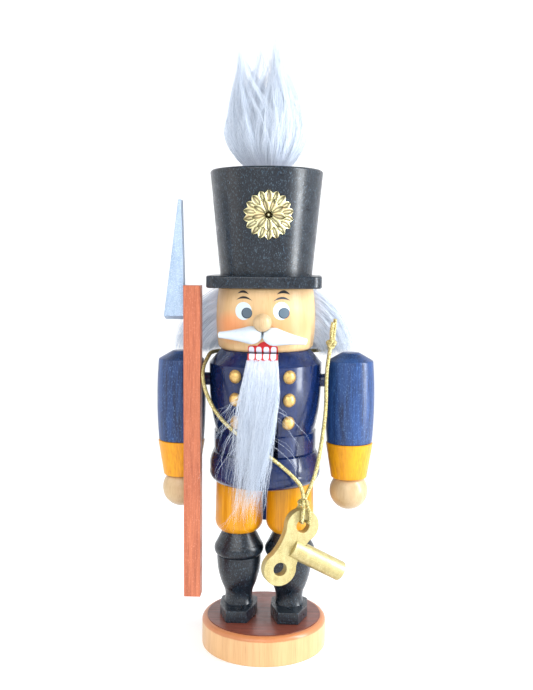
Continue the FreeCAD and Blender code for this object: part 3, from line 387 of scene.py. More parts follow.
@dataclass(frozen=True)
class StainedWood:
    """Stained and lacquered wood.

    light and dark are the stain on soft and hard grain, contrast how strongly the grain shows, rough
    the lacquer's roughness, coat the clear layer's weight, and the last two how strongly and in which colour
    glints of open pores are painted in as lighter flecks.
    """

    name: str
    light: Colour
    dark: Colour
    contrast: float = 0.6
    rough: float = 0.38
    coat: float = 0.25
    coat_rough: float = 0.2
    relief: float = 0.05
    grain: Grain = Grain.UPRIGHT
    fibre: float = 1500.0
    band: float = 260.0
    pore_glint: float = 0.0
    pore_glint_colour: Colour = (0.4, 0.5, 0.65)

    def base(self, bench: Bench, place: Any) -> tuple[Any, Any]:
        """Wood colour and height before any paint.

        Args:
            bench: the material's bench.
            place: Object coordinates.

        Returns:
            The colour's and the height's sockets.
        """
        vector = bench.stretched(place, self.grain.value)
        figure = use_group(bench, "wood_figure", {
            "Vector": vector, "Light": (*self.light, 1.0), "Dark": (*self.dark, 1.0),
            "Fibre": self.fibre, "Band": self.band, "Contrast": self.contrast,
        })
        colour = figure.outputs["Color"]
        # Painted highlight: fine lighter flecks mixed into the colour stand for glints of open pores.
        if self.pore_glint:
            fine = bench.noise(bench.stretched(place, (1.0, 1.0, 0.35)), 2600.0, 2.0, 0.7)
            glint = bench.math("MULTIPLY", bench.spread(fine, 0.54, 0.70), self.pore_glint)
            colour = bench.mix(glint, colour, self.pore_glint_colour)
        return colour, figure.outputs["Height"]

    def paint(self, bench: Bench, place: Any, colour: Any) -> Any:
        """Colour with anything painted over the wood, which is nothing here."""
        return colour

    def material(self) -> bpy.types.Material:
        """Build the material.

        Returns:
            The finished material.
        """
        material, bench, shader, place = begin_material(self.name)
        colour, height = self.base(bench, place)
        bench.feed(shader.inputs["Base Color"], self.paint(bench, place, colour))
        wear = bench.noise(place, 220.0, 3.0)
        rough = bench.spread(wear, 0.3, 0.7, self.rough - 0.06, self.rough + 0.08)
        bench.feed(shader.inputs["Roughness"], rough)
        shader.inputs["Specular IOR Level"].default_value = 0.32
        shader.inputs["Coat Weight"].default_value = self.coat
        shader.inputs["Coat Roughness"].default_value = self.coat_rough
        set_bump(bench, shader, height, 1.0, self.relief * MM)
        return material


@dataclass(frozen=True)
class Spot:
    """A painted spot: place, half sizes, power of its outline, softness of its edge, and colour."""

    across: float
    up: float
    half_width: float
    half_height: float
    colour: Colour
    power: float = 2.0
    edge: float = 0.06

    def over(self, bench: Bench, place: Any, colour: Any, weight: float = 1.0) -> Any:
        """Paint the spot over a colour.

        Args:
            bench: the material's bench.
            place: Object coordinates.
            colour: the colour beneath.
            weight: how well the paint covers.

        Returns:
            The new colour's socket.
        """
        spot = use_group(bench, "paint_spot", {
            "Vector": place, "Across": self.across * MM, "Up": self.up * MM, "Power": self.power,
            "Half Width": self.half_width * MM, "Half Height": self.half_height * MM, "Edge": self.edge,
        })
        share = bench.math("MULTIPLY", spot.outputs[0], weight)
        return bench.mix(share, colour, self.colour)


@dataclass(frozen=True)
class Stroke:
    """A painted arched line: its top, half length, drop at the ends, thickness and slant."""

    across: float
    up: float
    half_length: float
    drop: float
    thickness: float
    slant: float = 0.0
    colour: Colour = (0.006, 0.007, 0.01)

    def over(self, bench: Bench, place: Any, colour: Any) -> Any:
        """Paint the stroke over a colour.

        Args:
            bench: the material's bench.
            place: Object coordinates.
            colour: the colour beneath.

        Returns:
            The new colour's socket.
        """
        stroke = use_group(bench, "paint_stroke", {
            "Vector": place, "Across": self.across * MM, "Up": self.up * MM, "Drop": self.drop * MM,
            "Half Length": self.half_length * MM, "Thickness": self.thickness * MM, "Slant": self.slant * MM,
        })
        return bench.mix(stroke.outputs[0], colour, self.colour)


EYE_WHITE = (0.58, 0.68, 0.76)
SLATE = (0.085, 0.125, 0.165)
TOOTH = (0.66, 0.69, 0.78)
LIP_RED = (0.50, 0.004, 0.006)


@dataclass(frozen=True)
class PaintedFace(StainedWood):
    """Bare lacquered wood with the face painted on it."""

    def paint(self, bench: Bench, place: Any, colour: Any) -> Any:
        """Blush, mouth, upper teeth, eyes and brows over the wood.

        Args:
            bench: the material's bench.
            place: Object coordinates.
            colour: the wood's colour.

        Returns:
            The painted colour's socket.
        """
        for across, up in ((-14.0, 150.3), (12.2, 151.2)):
            blush = Spot(across, up, 9.5, 8.0, (0.78, 0.27, 0.10), edge=1.0)
            colour = blush.over(bench, place, colour, 0.75)
        colour = Spot(0.0, 139.3, 6.6, 3.5, LIP_RED, power=9.0).over(bench, place, colour)
        colour = Spot(0.3, 142.0, 3.1, 2.6, LIP_RED, power=1.5).over(bench, place, colour)
        for across in (-5.0, -1.75, 1.55, 4.75):
            colour = Spot(across, 140.3, 1.25, 2.0, TOOTH, power=3.2, edge=0.12).over(bench, place, colour)
        for across, up, half in ((-8.6, 157.75, 3.75), (7.9, 157.95, 3.55)):
            colour = Spot(across, up, half, 3.95, EYE_WHITE).over(bench, place, colour)
        for across in (-7.1, 9.1):
            colour = Spot(across, 156.9, 2.5, 2.45, (0.02, 0.03, 0.045), edge=0.1).over(bench, place, colour)
            colour = Spot(across + 0.12, 156.98, 2.2, 2.15, SLATE, edge=0.15).over(bench, place, colour)
        for stroke in (Stroke(-8.8, 166.2, 2.7, 1.15, 0.62, -0.12),
                       Stroke(8.8, 166.25, 3.0, 1.35, 0.7, -0.08),
                       Stroke(-8.35, 163.7, 3.7, 1.4, 0.56, -0.12),
                       Stroke(8.1, 163.55, 3.8, 1.5, 0.56, 0.1, (0.04, 0.05, 0.065))):
            colour = stroke.over(bench, place, colour)
        return colour


@dataclass(frozen=True)
class PaintedJaw(StainedWood):
    """Coat lacquer on the lever, with the lower lip and teeth painted on its front."""

    def paint(self, bench: Bench, place: Any, colour: Any) -> Any:
        """Lower lip and teeth over the lacquer.

        Args:
            bench: the material's bench.
            place: Object coordinates.
            colour: the lacquer's colour.

        Returns:
            The painted colour's socket.
        """
        lip = Spot(0.0, 136.0, 7.6, 4.0, LIP_RED, power=12.0)
        colour = lip.over(bench, place, colour)
        for across in (-4.75, -1.65, 1.5, 4.65):
            colour = Spot(across, 138.2, 1.25, 1.55, TOOTH, power=3.4, edge=0.12).over(bench, place, colour)
        return colour


@dataclass(frozen=True)
class StainedPlinth(StainedWood):
    """Pale wood with a stained shoulder and a darker stained top."""

    shoulder: Colour = (0.45, 0.13, 0.04)
    top: Colour = (0.12, 0.030, 0.018)
    shoulder_height: float = 11.3
    top_radius: float = 26.6

    def paint(self, bench: Bench, place: Any, colour: Any) -> Any:
        """Stain on the shoulder and the top.

        Args:
            bench: the material's bench.
            place: Object coordinates.
            colour: the bare wood's colour.

        Returns:
            The stained colour's socket.
        """
        parts = bench.add("ShaderNodeSeparateXYZ", {0: place}).outputs
        flat = bench.vector("LENGTH", bench.vector("MULTIPLY", place, (1.0, 1.0, 0.0)))
        ragged = bench.math("MULTIPLY_ADD", bench.noise(place, 700.0), 0.5 * MM, parts["Z"])
        high = bench.spread(ragged, (self.shoulder_height + 0.1) * MM, (self.shoulder_height + 0.7) * MM)
        colour = bench.mix(high, colour, bench.mix(0.75, colour, self.shoulder))
        inner = bench.math("LESS_THAN", flat, self.top_radius * MM)
        above = bench.math("GREATER_THAN", parts["Z"], (self.shoulder_height + 1.6) * MM)
        streak = bench.noise(bench.stretched(place, (0.05, 1.0, 1.0)), 900.0, 3.0)
        top = bench.mix(bench.spread(streak, 0.3, 0.7), self.top, tuple(1.7 * part for part in self.top))
        return bench.mix(bench.math("MULTIPLY", inner, above), colour, top)


@dataclass(frozen=True)
class MetallicPaint:
    """Brushed metallic paint with flakes, over wood whose grain shows faintly."""

    name: str
    colour: Colour
    shade: Colour
    metallic: float = 0.7
    rough: float = 0.42
    flake: float = 0.5
    relief: float = 0.03

    def material(self) -> bpy.types.Material:
        """Build the material.

        Returns:
            The finished material.
        """
        material, bench, shader, place = begin_material(self.name)
        cells = bench.add("ShaderNodeTexVoronoi", {"Vector": place, "Scale": 3800.0}).outputs["Color"]
        glint = bench.add("ShaderNodeSeparateColor", {0: cells}).outputs[0]
        cloud = bench.noise(bench.stretched(place, (1.0, 1.0, 0.4)), 420.0, 4.0, 0.6)
        colour = bench.mix(bench.spread(cloud, 0.35, 0.7), self.colour, self.shade)
        bright = tuple(min(1.0, 1.5 * part) for part in self.colour)
        colour = bench.mix(bench.math("MULTIPLY", bench.spread(glint, 0.7, 0.95), self.flake), colour, bright)
        bench.feed(shader.inputs["Base Color"], colour)
        shader.inputs["Metallic"].default_value = self.metallic
        bench.feed(shader.inputs["Roughness"],
                   bench.spread(glint, 0.0, 1.0, self.rough - 0.08, self.rough + 0.12, smooth=False))
        height = bench.math("MULTIPLY_ADD", glint, 0.4, cloud)
        set_bump(bench, shader, height, 1.0, self.relief * MM)
        return material


@dataclass(frozen=True)
class FurFinish:
    """Fine hair: bright strands among strands painted in shade, picked by a random value on each strand, with
    a faint painted glow.
    """

    name: str
    bright: Colour
    shade: Colour
    root: Colour
    rough: float = 0.45

    def material(self) -> bpy.types.Material:
        """Build the material.

        Returns:
            The finished material.
        """
        material, bench, shader, _ = begin_material(self.name)
        tint = bench.add("ShaderNodeAttribute", attribute_name="strand_tint").outputs["Fac"]
        along = bench.add("ShaderNodeAttribute", attribute_name="strand_along").outputs["Fac"]
        # Painted shade: strands picked by their random value take the darker colour in place of lit white.
        colour = bench.mix(bench.spread(tint, 0.35, 0.95), self.bright, self.shade)
        colour = bench.mix(bench.spread(along, 0.0, 0.3, 0.8, 0.0), colour, self.root)
        bench.feed(shader.inputs["Base Color"], colour)
        shader.inputs["Roughness"].default_value = self.rough
        shader.inputs["Sheen Weight"].default_value = 0.25
        shader.inputs["Specular IOR Level"].default_value = 0.35
        # Painted light: a faint bluish glow stands in for light scattered through the white fur.
        shader.inputs["Emission Color"].default_value = (0.86, 0.92, 1.0, 1.0)
        shader.inputs["Emission Strength"].default_value = 0.10
        return material


@dataclass(frozen=True)
class GoldThread:
    """Metallised thread, with fine filaments wound round each ply, its darkest cells painted in shade and its
    palest painted as glints.
    """

    name: str
    colour: Colour = (0.74, 0.65, 0.28)
    shade: Colour = (0.20, 0.15, 0.04)

    def material(self) -> bpy.types.Material:
        """Build the material.

        Returns:
            The finished material.
        """
        material, bench, shader, place = begin_material(self.name)
        cells = bench.add("ShaderNodeTexVoronoi", {"Vector": place, "Scale": 5200.0})
        glint = bench.add("ShaderNodeSeparateColor", {0: cells.outputs["Color"]}).outputs[0]
        # Painted shade in the darkest cells, painted glints in the palest.
        colour = bench.mix(bench.spread(glint, 0.15, 0.75), self.shade, self.colour)
        colour = bench.mix(bench.spread(glint, 0.8, 0.98), colour, (1.0, 0.93, 0.66))
        bench.feed(shader.inputs["Base Color"], colour)
        shader.inputs["Metallic"].default_value = 0.85
        shader.inputs["Roughness"].default_value = 0.34
        set_bump(bench, shader, glint, 0.8, 0.06 * MM)
        return material


@dataclass(frozen=True)
class StampedSheet:
    """Bright stamped sheet metal, with painted shade where it lies low and warmer in random patches."""

    name: str
    colour: Colour = (0.80, 0.76, 0.46)
    warm: Colour = (0.78, 0.55, 0.30)
    recess_shade: Colour = (0.07, 0.055, 0.02)

    def material(self) -> bpy.types.Material:
        """Build the material.

        Returns:
            The finished material.
        """
        material, bench, shader, place = begin_material(self.name)
        depth = bench.add("ShaderNodeAttribute", attribute_name="stamp_lit_level").outputs["Fac"]
        cloud = bench.noise(place, 300.0, 4.0, 0.6)
        colour = bench.mix(bench.spread(cloud, 0.45, 0.8), self.colour, self.warm)
        # Painted shade: low places of the stamp take the dark colour.
        colour = bench.mix(bench.spread(depth, 0.1, 0.62, 0.96, 0.0), colour, self.recess_shade)
        bench.feed(shader.inputs["Base Color"], colour)
        shader.inputs["Metallic"].default_value = 1.0
        bench.feed(shader.inputs["Roughness"], bench.spread(cloud, 0.3, 0.8, 0.22, 0.36))
        set_bump(bench, shader, bench.noise(place, 1800.0, 2.0), 0.35, 0.03 * MM)
        return material


# ---------------------------------------------------------------------------------------------
# Mesh helpers
# ---------------------------------------------------------------------------------------------


def place_object(name: str, mesh: bpy.types.Mesh,
                 material: Optional[bpy.types.Material] = None) -> bpy.types.Object:
    """Object at the origin that shows a mesh.

    Args:
        name: the piece's name.
        mesh: its mesh, already in place.
        material: its finish.

    Returns:
        The linked object.
    """
    piece = bpy.data.objects.new(name, mesh)
    bpy.context.scene.collection.objects.link(piece)
    if material is not None:
        mesh.materials.clear()
        mesh.materials.append(material)
    return piece


def shape_mesh(name: str, points: Sequence[Sequence[float]], faces: Sequence[Sequence[int]] = (),
               edges: Sequence[Sequence[int]] = (), smooth: bool = True) -> bpy.types.Mesh:
    """Mesh from points, faces and edges.

    Args:
        name: the mesh's name.
        points: its vertices.
        faces: its faces.
        edges: its loose edges.
        smooth: whether its faces are shaded smooth.

    Returns:
        The new mesh.
    """
    mesh = bpy.data.meshes.new(name)
    mesh.from_pydata([tuple(point) for point in points], edges, faces)
    mesh.update()
    if smooth and faces:
        mesh.shade_smooth()
    return mesh


def disc_faces(spokes: int, rings: int) -> list[tuple[int, ...]]:
    """Faces of a disc whose points are its centre and then its rings, from the middle outwards.

    Args:
        spokes: points in a ring.
        rings: how many rings.

    Returns:
        The faces, as point numbers.
    """
    faces = []
    for spoke in range(spokes):
        following = (spoke + 1) % spokes
        faces.append((0, 1 + spoke, 1 + following))
        for ring in range(rings - 1):
            inner, outer = 1 + ring * spokes, 1 + (ring + 1) * spokes
            faces.append((inner + spoke, outer + spoke, outer + following, inner + following))
    return faces


def set_inputs(modifier: bpy.types.Modifier, values: dict[str, Any]) -> None:
    """Set a Geometry Nodes modifier's inputs by their sockets' identifiers.

    Args:
        modifier: the modifier.
        values: input name to value.
    """
    for item in modifier.node_group.interface.items_tree:
        if item.item_type == "SOCKET" and item.in_out == "INPUT" and item.name in values:
            modifier[item.identifier] = values[item.name]


def grown(name: str, host: bpy.types.Mesh, tree: str, values: dict[str, Any],
          material: bpy.types.Material) -> bpy.types.Object:
    """Plain mesh piece that a Geometry Nodes tree makes from a host mesh.

    Args:
        name: the piece's name.
        host: the mesh that the tree works on.
        tree: the tree's name.
        values: its inputs.
        material: the finish it sets.

    Returns:
        The finished piece.
    """
    worker = place_object(name + "_worker", host)
    modifier = worker.modifiers.new("Grow", "NODES")
    modifier.node_group = bpy.data.node_groups[tree]
    set_inputs(modifier, {**values, "Finish": material})
    graph = bpy.context.evaluated_depsgraph_get()
    mesh = bpy.data.meshes.new_from_object(worker.evaluated_get(graph), depsgraph=graph)
    bpy.data.objects.remove(worker)
    mesh.name = name
    return place_object(name, mesh)


def joined(name: str, parts: Sequence[bpy.types.Object]) -> bpy.types.Object:
    """One piece made from several.

    Args:
        name: the piece's name.
        parts: what is joined; the first one keeps its data.

    Returns:
        The joined piece.
    """
    with bpy.context.temp_override(active_object=parts[0], selected_editable_objects=list(parts)):
        bpy.ops.object.join()
    parts[0].name = name
    parts[0].data.name = name
    return parts[0]


def eased_copy(node: str, name: str, radius: float, material: bpy.types.Material,
               segments: int = 2) -> bpy.types.Object:
    """Copy of a CAD piece whose sharp edges are rounded, standing for it.

    Args:
        node: the CAD node's name.
        name: the new piece's name.
        radius: the rounding.
        material: its finish.
        segments: facets in each rounding.

    Returns:
        The new piece.
    """
    mesh = bpy.data.objects[node].data.copy()
    work = bmesh.new()
    work.from_mesh(mesh)
    bmesh.ops.remove_doubles(work, verts=work.verts, dist=2e-6)
    bmesh.ops.dissolve_limit(work, angle_limit=math.radians(0.6), verts=work.verts, edges=work.edges)
    sharp = [edge for edge in work.edges if len(edge.link_faces) == 2
             and edge.calc_face_angle(0.0) > math.radians(35)]
    bmesh.ops.bevel(work, geom=sharp, offset=radius, offset_type="OFFSET", segments=segments, profile=0.5,
                    affect="EDGES", clamp_overlap=True)
    work.to_mesh(mesh)
    work.free()
    mesh.shade_smooth()
    mesh.name = name
    piece = place_object(name, mesh, material)
    weigh = piece.modifiers.new("Weighted", "WEIGHTED_NORMAL")
    weigh.keep_sharp = True
    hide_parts(node)
    return piece


# ---------------------------------------------------------------------------------------------
# Geometry Nodes: fur, twisted cord, round stamp
# ---------------------------------------------------------------------------------------------


def finish_tree(bench: Bench, shape: Any, finish: Any) -> None:
    """End a shape tree: smooth faces, plain geometry, its finish and the output.

    Args:
        bench: the tree.
        shape: its geometry.
        finish: the material that it takes.
    """
    smooth = bench.add("GeometryNodeSetShadeSmooth", {"Geometry": shape}).outputs[0]
    real = bench.add("GeometryNodeRealizeInstances", {"Geometry": smooth}).outputs[0]
    done = bench.add("GeometryNodeSetMaterial", {"Geometry": real, "Material": finish}).outputs[0]
    bench.add("NodeGroupOutput", {"Geometry": done})


def make_fur_tree() -> None:
    """Tree that grows hairs round guide locks, each trimmed, frizzed and thinned to its tip."""
    bench = new_group("fur_from_locks", "GeometryNodeTree", {
        "Geometry": "NodeSocketGeometry", "Hairs per Lock": 40, "Points per Hair": 9, "Frizz": 0.0005,
        "Frizz Scale": 160.0, "Hair Radius": 0.0001, "Shortest": 0.7, "Seed": 1,
        "Finish": "NodeSocketMaterial",
    }, {"Geometry": "NodeSocketGeometry"})
    if bench is None:
        return
    entry = bench.add("NodeGroupInput").outputs
    curves = bench.add("GeometryNodeMeshToCurve", {"Mesh": entry["Geometry"]}).outputs[0]
    many = bench.add("GeometryNodeDuplicateElements", {"Geometry": curves, "Amount": entry["Hairs per Lock"]},
                     domain="SPLINE")
    shift = bench.add("FunctionNodeRandomValue", {
        "Min": (-1.0,) * 3, "Max": (1.0,) * 3, "Seed": entry["Seed"]}, data_type="FLOAT_VECTOR").outputs[0]
    own = bench.add("GeometryNodeFieldOnDomain", {0: shift}, data_type="FLOAT_VECTOR",
                    domain="CURVE").outputs[0]
    seed = bench.math("ADD", entry["Seed"], 7.0)
    length = bench.add("FunctionNodeRandomValue", {2: entry["Shortest"], 3: 1.0, "Seed": seed},
                       data_type="FLOAT").outputs[1]
    cut = bench.add("GeometryNodeTrimCurve", {"Curve": many.outputs[0], "End": length}, mode="FACTOR")
    even = bench.add("GeometryNodeResampleCurve", {
        "Curve": cut.outputs[0], "Count": entry["Points per Hair"]}).outputs[0]
    along = bench.add("GeometryNodeInputNamedAttribute", {"Name": "along"}, data_type="FLOAT").outputs[0]
    width = bench.add("GeometryNodeInputNamedAttribute", {"Name": "lock_radius"},
                      data_type="FLOAT").outputs[0]
    place = bench.add("GeometryNodeInputPosition").outputs[0]
    spread = bench.scaled(own, width)
    where = bench.vector("ADD", bench.vector("MULTIPLY", own, (3.1, 3.7, 2.9)), place)
    noise = bench.add("ShaderNodeTexNoise", {"Vector": where, "Scale": entry["Frizz Scale"], "Detail": 1.5})
    curl = bench.vector("SUBTRACT", noise.outputs["Color"], (0.5, 0.5, 0.5))
    reach = bench.math("MULTIPLY", bench.math("MULTIPLY", along, 2.0), entry["Frizz"])
    offset = bench.vector("ADD", spread, bench.scaled(curl, reach))
    moved = bench.add("GeometryNodeSetPosition", {"Geometry": even, "Offset": offset})
    # Random value on each strand that picks how much painted shade it takes.
    tint = bench.add("FunctionNodeRandomValue", {"Seed": bench.math("ADD", entry["Seed"], 19.0)},
                     data_type="FLOAT")
    tint = bench.add("GeometryNodeFieldOnDomain", {0: tint.outputs[1]}, data_type="FLOAT",
                     domain="CURVE").outputs[0]
    stored = bench.add("GeometryNodeStoreNamedAttribute", {
        "Geometry": moved.outputs[0], "Name": "strand_tint", "Value": tint,
    }, data_type="FLOAT", domain="POINT")
    factor = bench.add("GeometryNodeSplineParameter").outputs["Factor"]
    stored = bench.add("GeometryNodeStoreNamedAttribute", {
        "Geometry": stored.outputs[0], "Name": "strand_along", "Value": factor,
    }, data_type="FLOAT", domain="POINT")
    taper = bench.math("SUBTRACT", 1.0, bench.math("MULTIPLY", bench.math("POWER", factor, 2.5), 0.85))
    radius = bench.math("MULTIPLY", taper, entry["Hair Radius"])
    ring = bench.add("GeometryNodeCurvePrimitiveCircle", {"Resolution": 3, "Radius": 1.0}).outputs[0]
    mesh = bench.add("GeometryNodeCurveToMesh", {"Curve": stored.outputs[0], "Profile Curve": ring,
                                                 "Scale": radius, "Fill Caps": True})
    finish_tree(bench, mesh.outputs[0], entry["Finish"])


def make_cord_tree() -> None:
    """Tree that lays plies in a helix round a route."""
    bench = new_group("twisted_cord", "GeometryNodeTree", {
        "Geometry": "NodeSocketGeometry", "Plies": 3, "Lay Length": 0.004, "Ply Offset": 0.00045,
        "Ply Radius": 0.00048, "Step": 0.0003, "Facets": 7, "Finish": "NodeSocketMaterial",
    }, {"Geometry": "NodeSocketGeometry"})
    if bench is None:
        return
    entry = bench.add("NodeGroupInput").outputs
    curves = bench.add("GeometryNodeMeshToCurve", {"Mesh": entry["Geometry"]}).outputs[0]
    even = bench.add("GeometryNodeResampleCurve", {"Curve": curves, "Length": entry["Step"]}, mode="LENGTH")
    level = bench.add("GeometryNodeSetCurveNormal", {"Curve": even.outputs[0]})
    many = bench.add("GeometryNodeDuplicateElements", {
        "Geometry": level.outputs[0], "Amount": entry["Plies"]}, domain="SPLINE")
    travelled = bench.add("GeometryNodeSplineParameter").outputs["Length"]
    turns = bench.math("DIVIDE", travelled, entry["Lay Length"])
    phase = bench.math("DIVIDE", many.outputs["Duplicate Index"], entry["Plies"])
    angle = bench.math("MULTIPLY", bench.math("ADD", turns, phase), 2 * math.pi)
    normal = bench.add("GeometryNodeInputNormal").outputs[0]
    tangent = bench.add("GeometryNodeInputTangent").outputs[0]
    side = bench.vector("CROSS_PRODUCT", tangent, normal)
    round_it = bench.vector("ADD", bench.scaled(normal, bench.math("COSINE", angle)),
                            bench.scaled(side, bench.math("SINE", angle)))
    moved = bench.add("GeometryNodeSetPosition", {
        "Geometry": many.outputs[0], "Offset": bench.scaled(round_it, entry["Ply Offset"])})
    ring = bench.add("GeometryNodeCurvePrimitiveCircle", {
        "Resolution": entry["Facets"], "Radius": entry["Ply Radius"]}).outputs[0]
    mesh = bench.add("GeometryNodeCurveToMesh", {"Curve": moved.outputs[0], "Profile Curve": ring,
                                                 "Fill Caps": True})
    finish_tree(bench, mesh.outputs[0], entry["Finish"])


def make_stamp_tree() -> None:
    """Tree that repeats a petal round a centre and bends the ring round the hat's cone."""
    bench = new_group("round_stamp", "GeometryNodeTree", {
        "Geometry": "NodeSocketGeometry", "Count": 9, "First Angle": 0.0, "Lift": 0.0, "Height": 0.02,
        "Cone Bottom": 0.02, "Cone Slope": 0.1, "Cone Foot": 0.173, "Turn": 0.0,
        "Finish": "NodeSocketMaterial",
    }, {"Geometry": "NodeSocketGeometry"})
    if bench is None:
        return
    entry = bench.add("NodeGroupInput").outputs
    points = bench.add("GeometryNodePoints", {"Count": entry["Count"]}).outputs[0]
    index = bench.add("GeometryNodeInputIndex").outputs[0]
    step = bench.math("DIVIDE", 2 * math.pi, entry["Count"])
    angle = bench.math("MULTIPLY_ADD", index, step, entry["First Angle"])
    turn = bench.add("ShaderNodeCombineXYZ", {"Y": angle}).outputs[0]
    copies = bench.add("GeometryNodeInstanceOnPoints", {"Points": points, "Instance": entry["Geometry"],
                                                        "Rotation": turn}).outputs[0]
    real = bench.add("GeometryNodeRealizeInstances", {"Geometry": copies}).outputs[0]
    parts = bench.add("ShaderNodeSeparateXYZ", {0: bench.add("GeometryNodeInputPosition").outputs[0]}).outputs
    up = bench.math("ADD", parts["Z"], entry["Height"])
    rise = bench.math("SUBTRACT", up, entry["Cone Foot"])
    cone = bench.math("MULTIPLY_ADD", rise, entry["Cone Slope"], entry["Cone Bottom"])
    depth = bench.math("SUBTRACT", bench.math("MULTIPLY", cone, cone),
                       bench.math("MULTIPLY", parts["X"], parts["X"]))
    front = bench.math("SQRT", depth)
    out = bench.math("SUBTRACT", entry["Lift"], parts["Y"])
    grow = bench.math("DIVIDE", bench.math("ADD", cone, out), cone)
    flat = bench.add("ShaderNodeCombineXYZ", {
        "X": bench.math("MULTIPLY", parts["X"], grow), "Z": up,
        "Y": bench.math("MULTIPLY", bench.math("MULTIPLY", front, grow), -1.0)}).outputs[0]
    turned = bench.add("ShaderNodeVectorRotate", {"Vector": flat, "Angle": entry["Turn"]},
                       rotation_type="Z_AXIS").outputs[0]
    moved = bench.add("GeometryNodeSetPosition", {"Geometry": real, "Position": turned}).outputs[0]
    finish_tree(bench, moved, entry["Finish"])


# ---------------------------------------------------------------------------------------------
# Fur
# ---------------------------------------------------------------------------------------------


@dataclass
class Lock:
    """A guide lock: its line in millimetres and its radius at the root and the tip."""

    line: list[Vector]
    root_radius: float
    tip_radius: float


def bent(points: Sequence[Vector], share: float) -> Vector:
    """Point on the Bezier curve of any number of control points."""
    row = list(points)
    while len(row) > 1:
        row = [first.lerp(second, share) for first, second in zip(row, row[1:])]
    return row[0]


def lock_of(points: Sequence[Vector], root_radius: float, tip_radius: float, count: int = 9) -> Lock:
    """Smooth lock through a control polygon."""
    return Lock([bent(points, index / (count - 1)) for index in range(count)], root_radius, tip_radius)


def lock_mesh(name: str, locks: Sequence[Lock]) -> bpy.types.Mesh:
    """Host mesh of guide lines, with the share along each and its radius as attributes.

    Args:
        name: the mesh's name.
        locks: the guide locks.

    Returns:
        The mesh of edges.
    """
    points, edges, along, radii = [], [], [], []
    for lock in locks:
        start = len(points)
        last = len(lock.line) - 1
        for index, point in enumerate(lock.line):
            share = index / last
            points.append(point * MM)
            along.append(share)
            radii.append((lock.root_radius * (1 - share) + lock.tip_radius * share) * MM)
            if index:
                edges.append((start + index - 1, start + index))
    mesh = shape_mesh(name, points, edges=edges)
    for label, values in (("along", along), ("lock_radius", radii)):
        mesh.attributes.new(label, "FLOAT", "POINT").data.foreach_set("value", values)
    return mesh


@dataclass
class Fur:
    """What all fur pieces share: how hairs grow round their locks."""

    finish: bpy.types.Material
    hair_radius: float = 0.075
    frizz: float = 1.2
    frizz_scale: float = 170.0
    shortest: float = 0.62

    def grow(self, name: str, locks: Sequence[Lock], hairs: int, seed: int, frizz: Optional[float] = None,
             radius: Optional[float] = None, shortest: Optional[float] = None) -> bpy.types.Object:
        """Hairs round the given locks as one piece.

        Args:
            name: the piece's name.
            locks: its guide locks.
            hairs: hairs round each.
            seed: fixed seed.
            frizz: how far hairs wave in millimetres, or the usual.
            radius: a hair's radius in millimetres, or the usual.
            shortest: shortest share of a lock's length, or the usual.

        Returns:
            The piece.
        """
        piece = grown(name, lock_mesh(name, locks), "fur_from_locks", {
            "Hairs per Lock": hairs, "Points per Hair": 9, "Seed": seed, "Frizz Scale": self.frizz_scale,
            "Frizz": (self.frizz if frizz is None else frizz) * MM,
            "Hair Radius": (self.hair_radius if radius is None else radius) * MM,
            "Shortest": self.shortest if shortest is None else shortest,
        }, self.finish)
        return piece


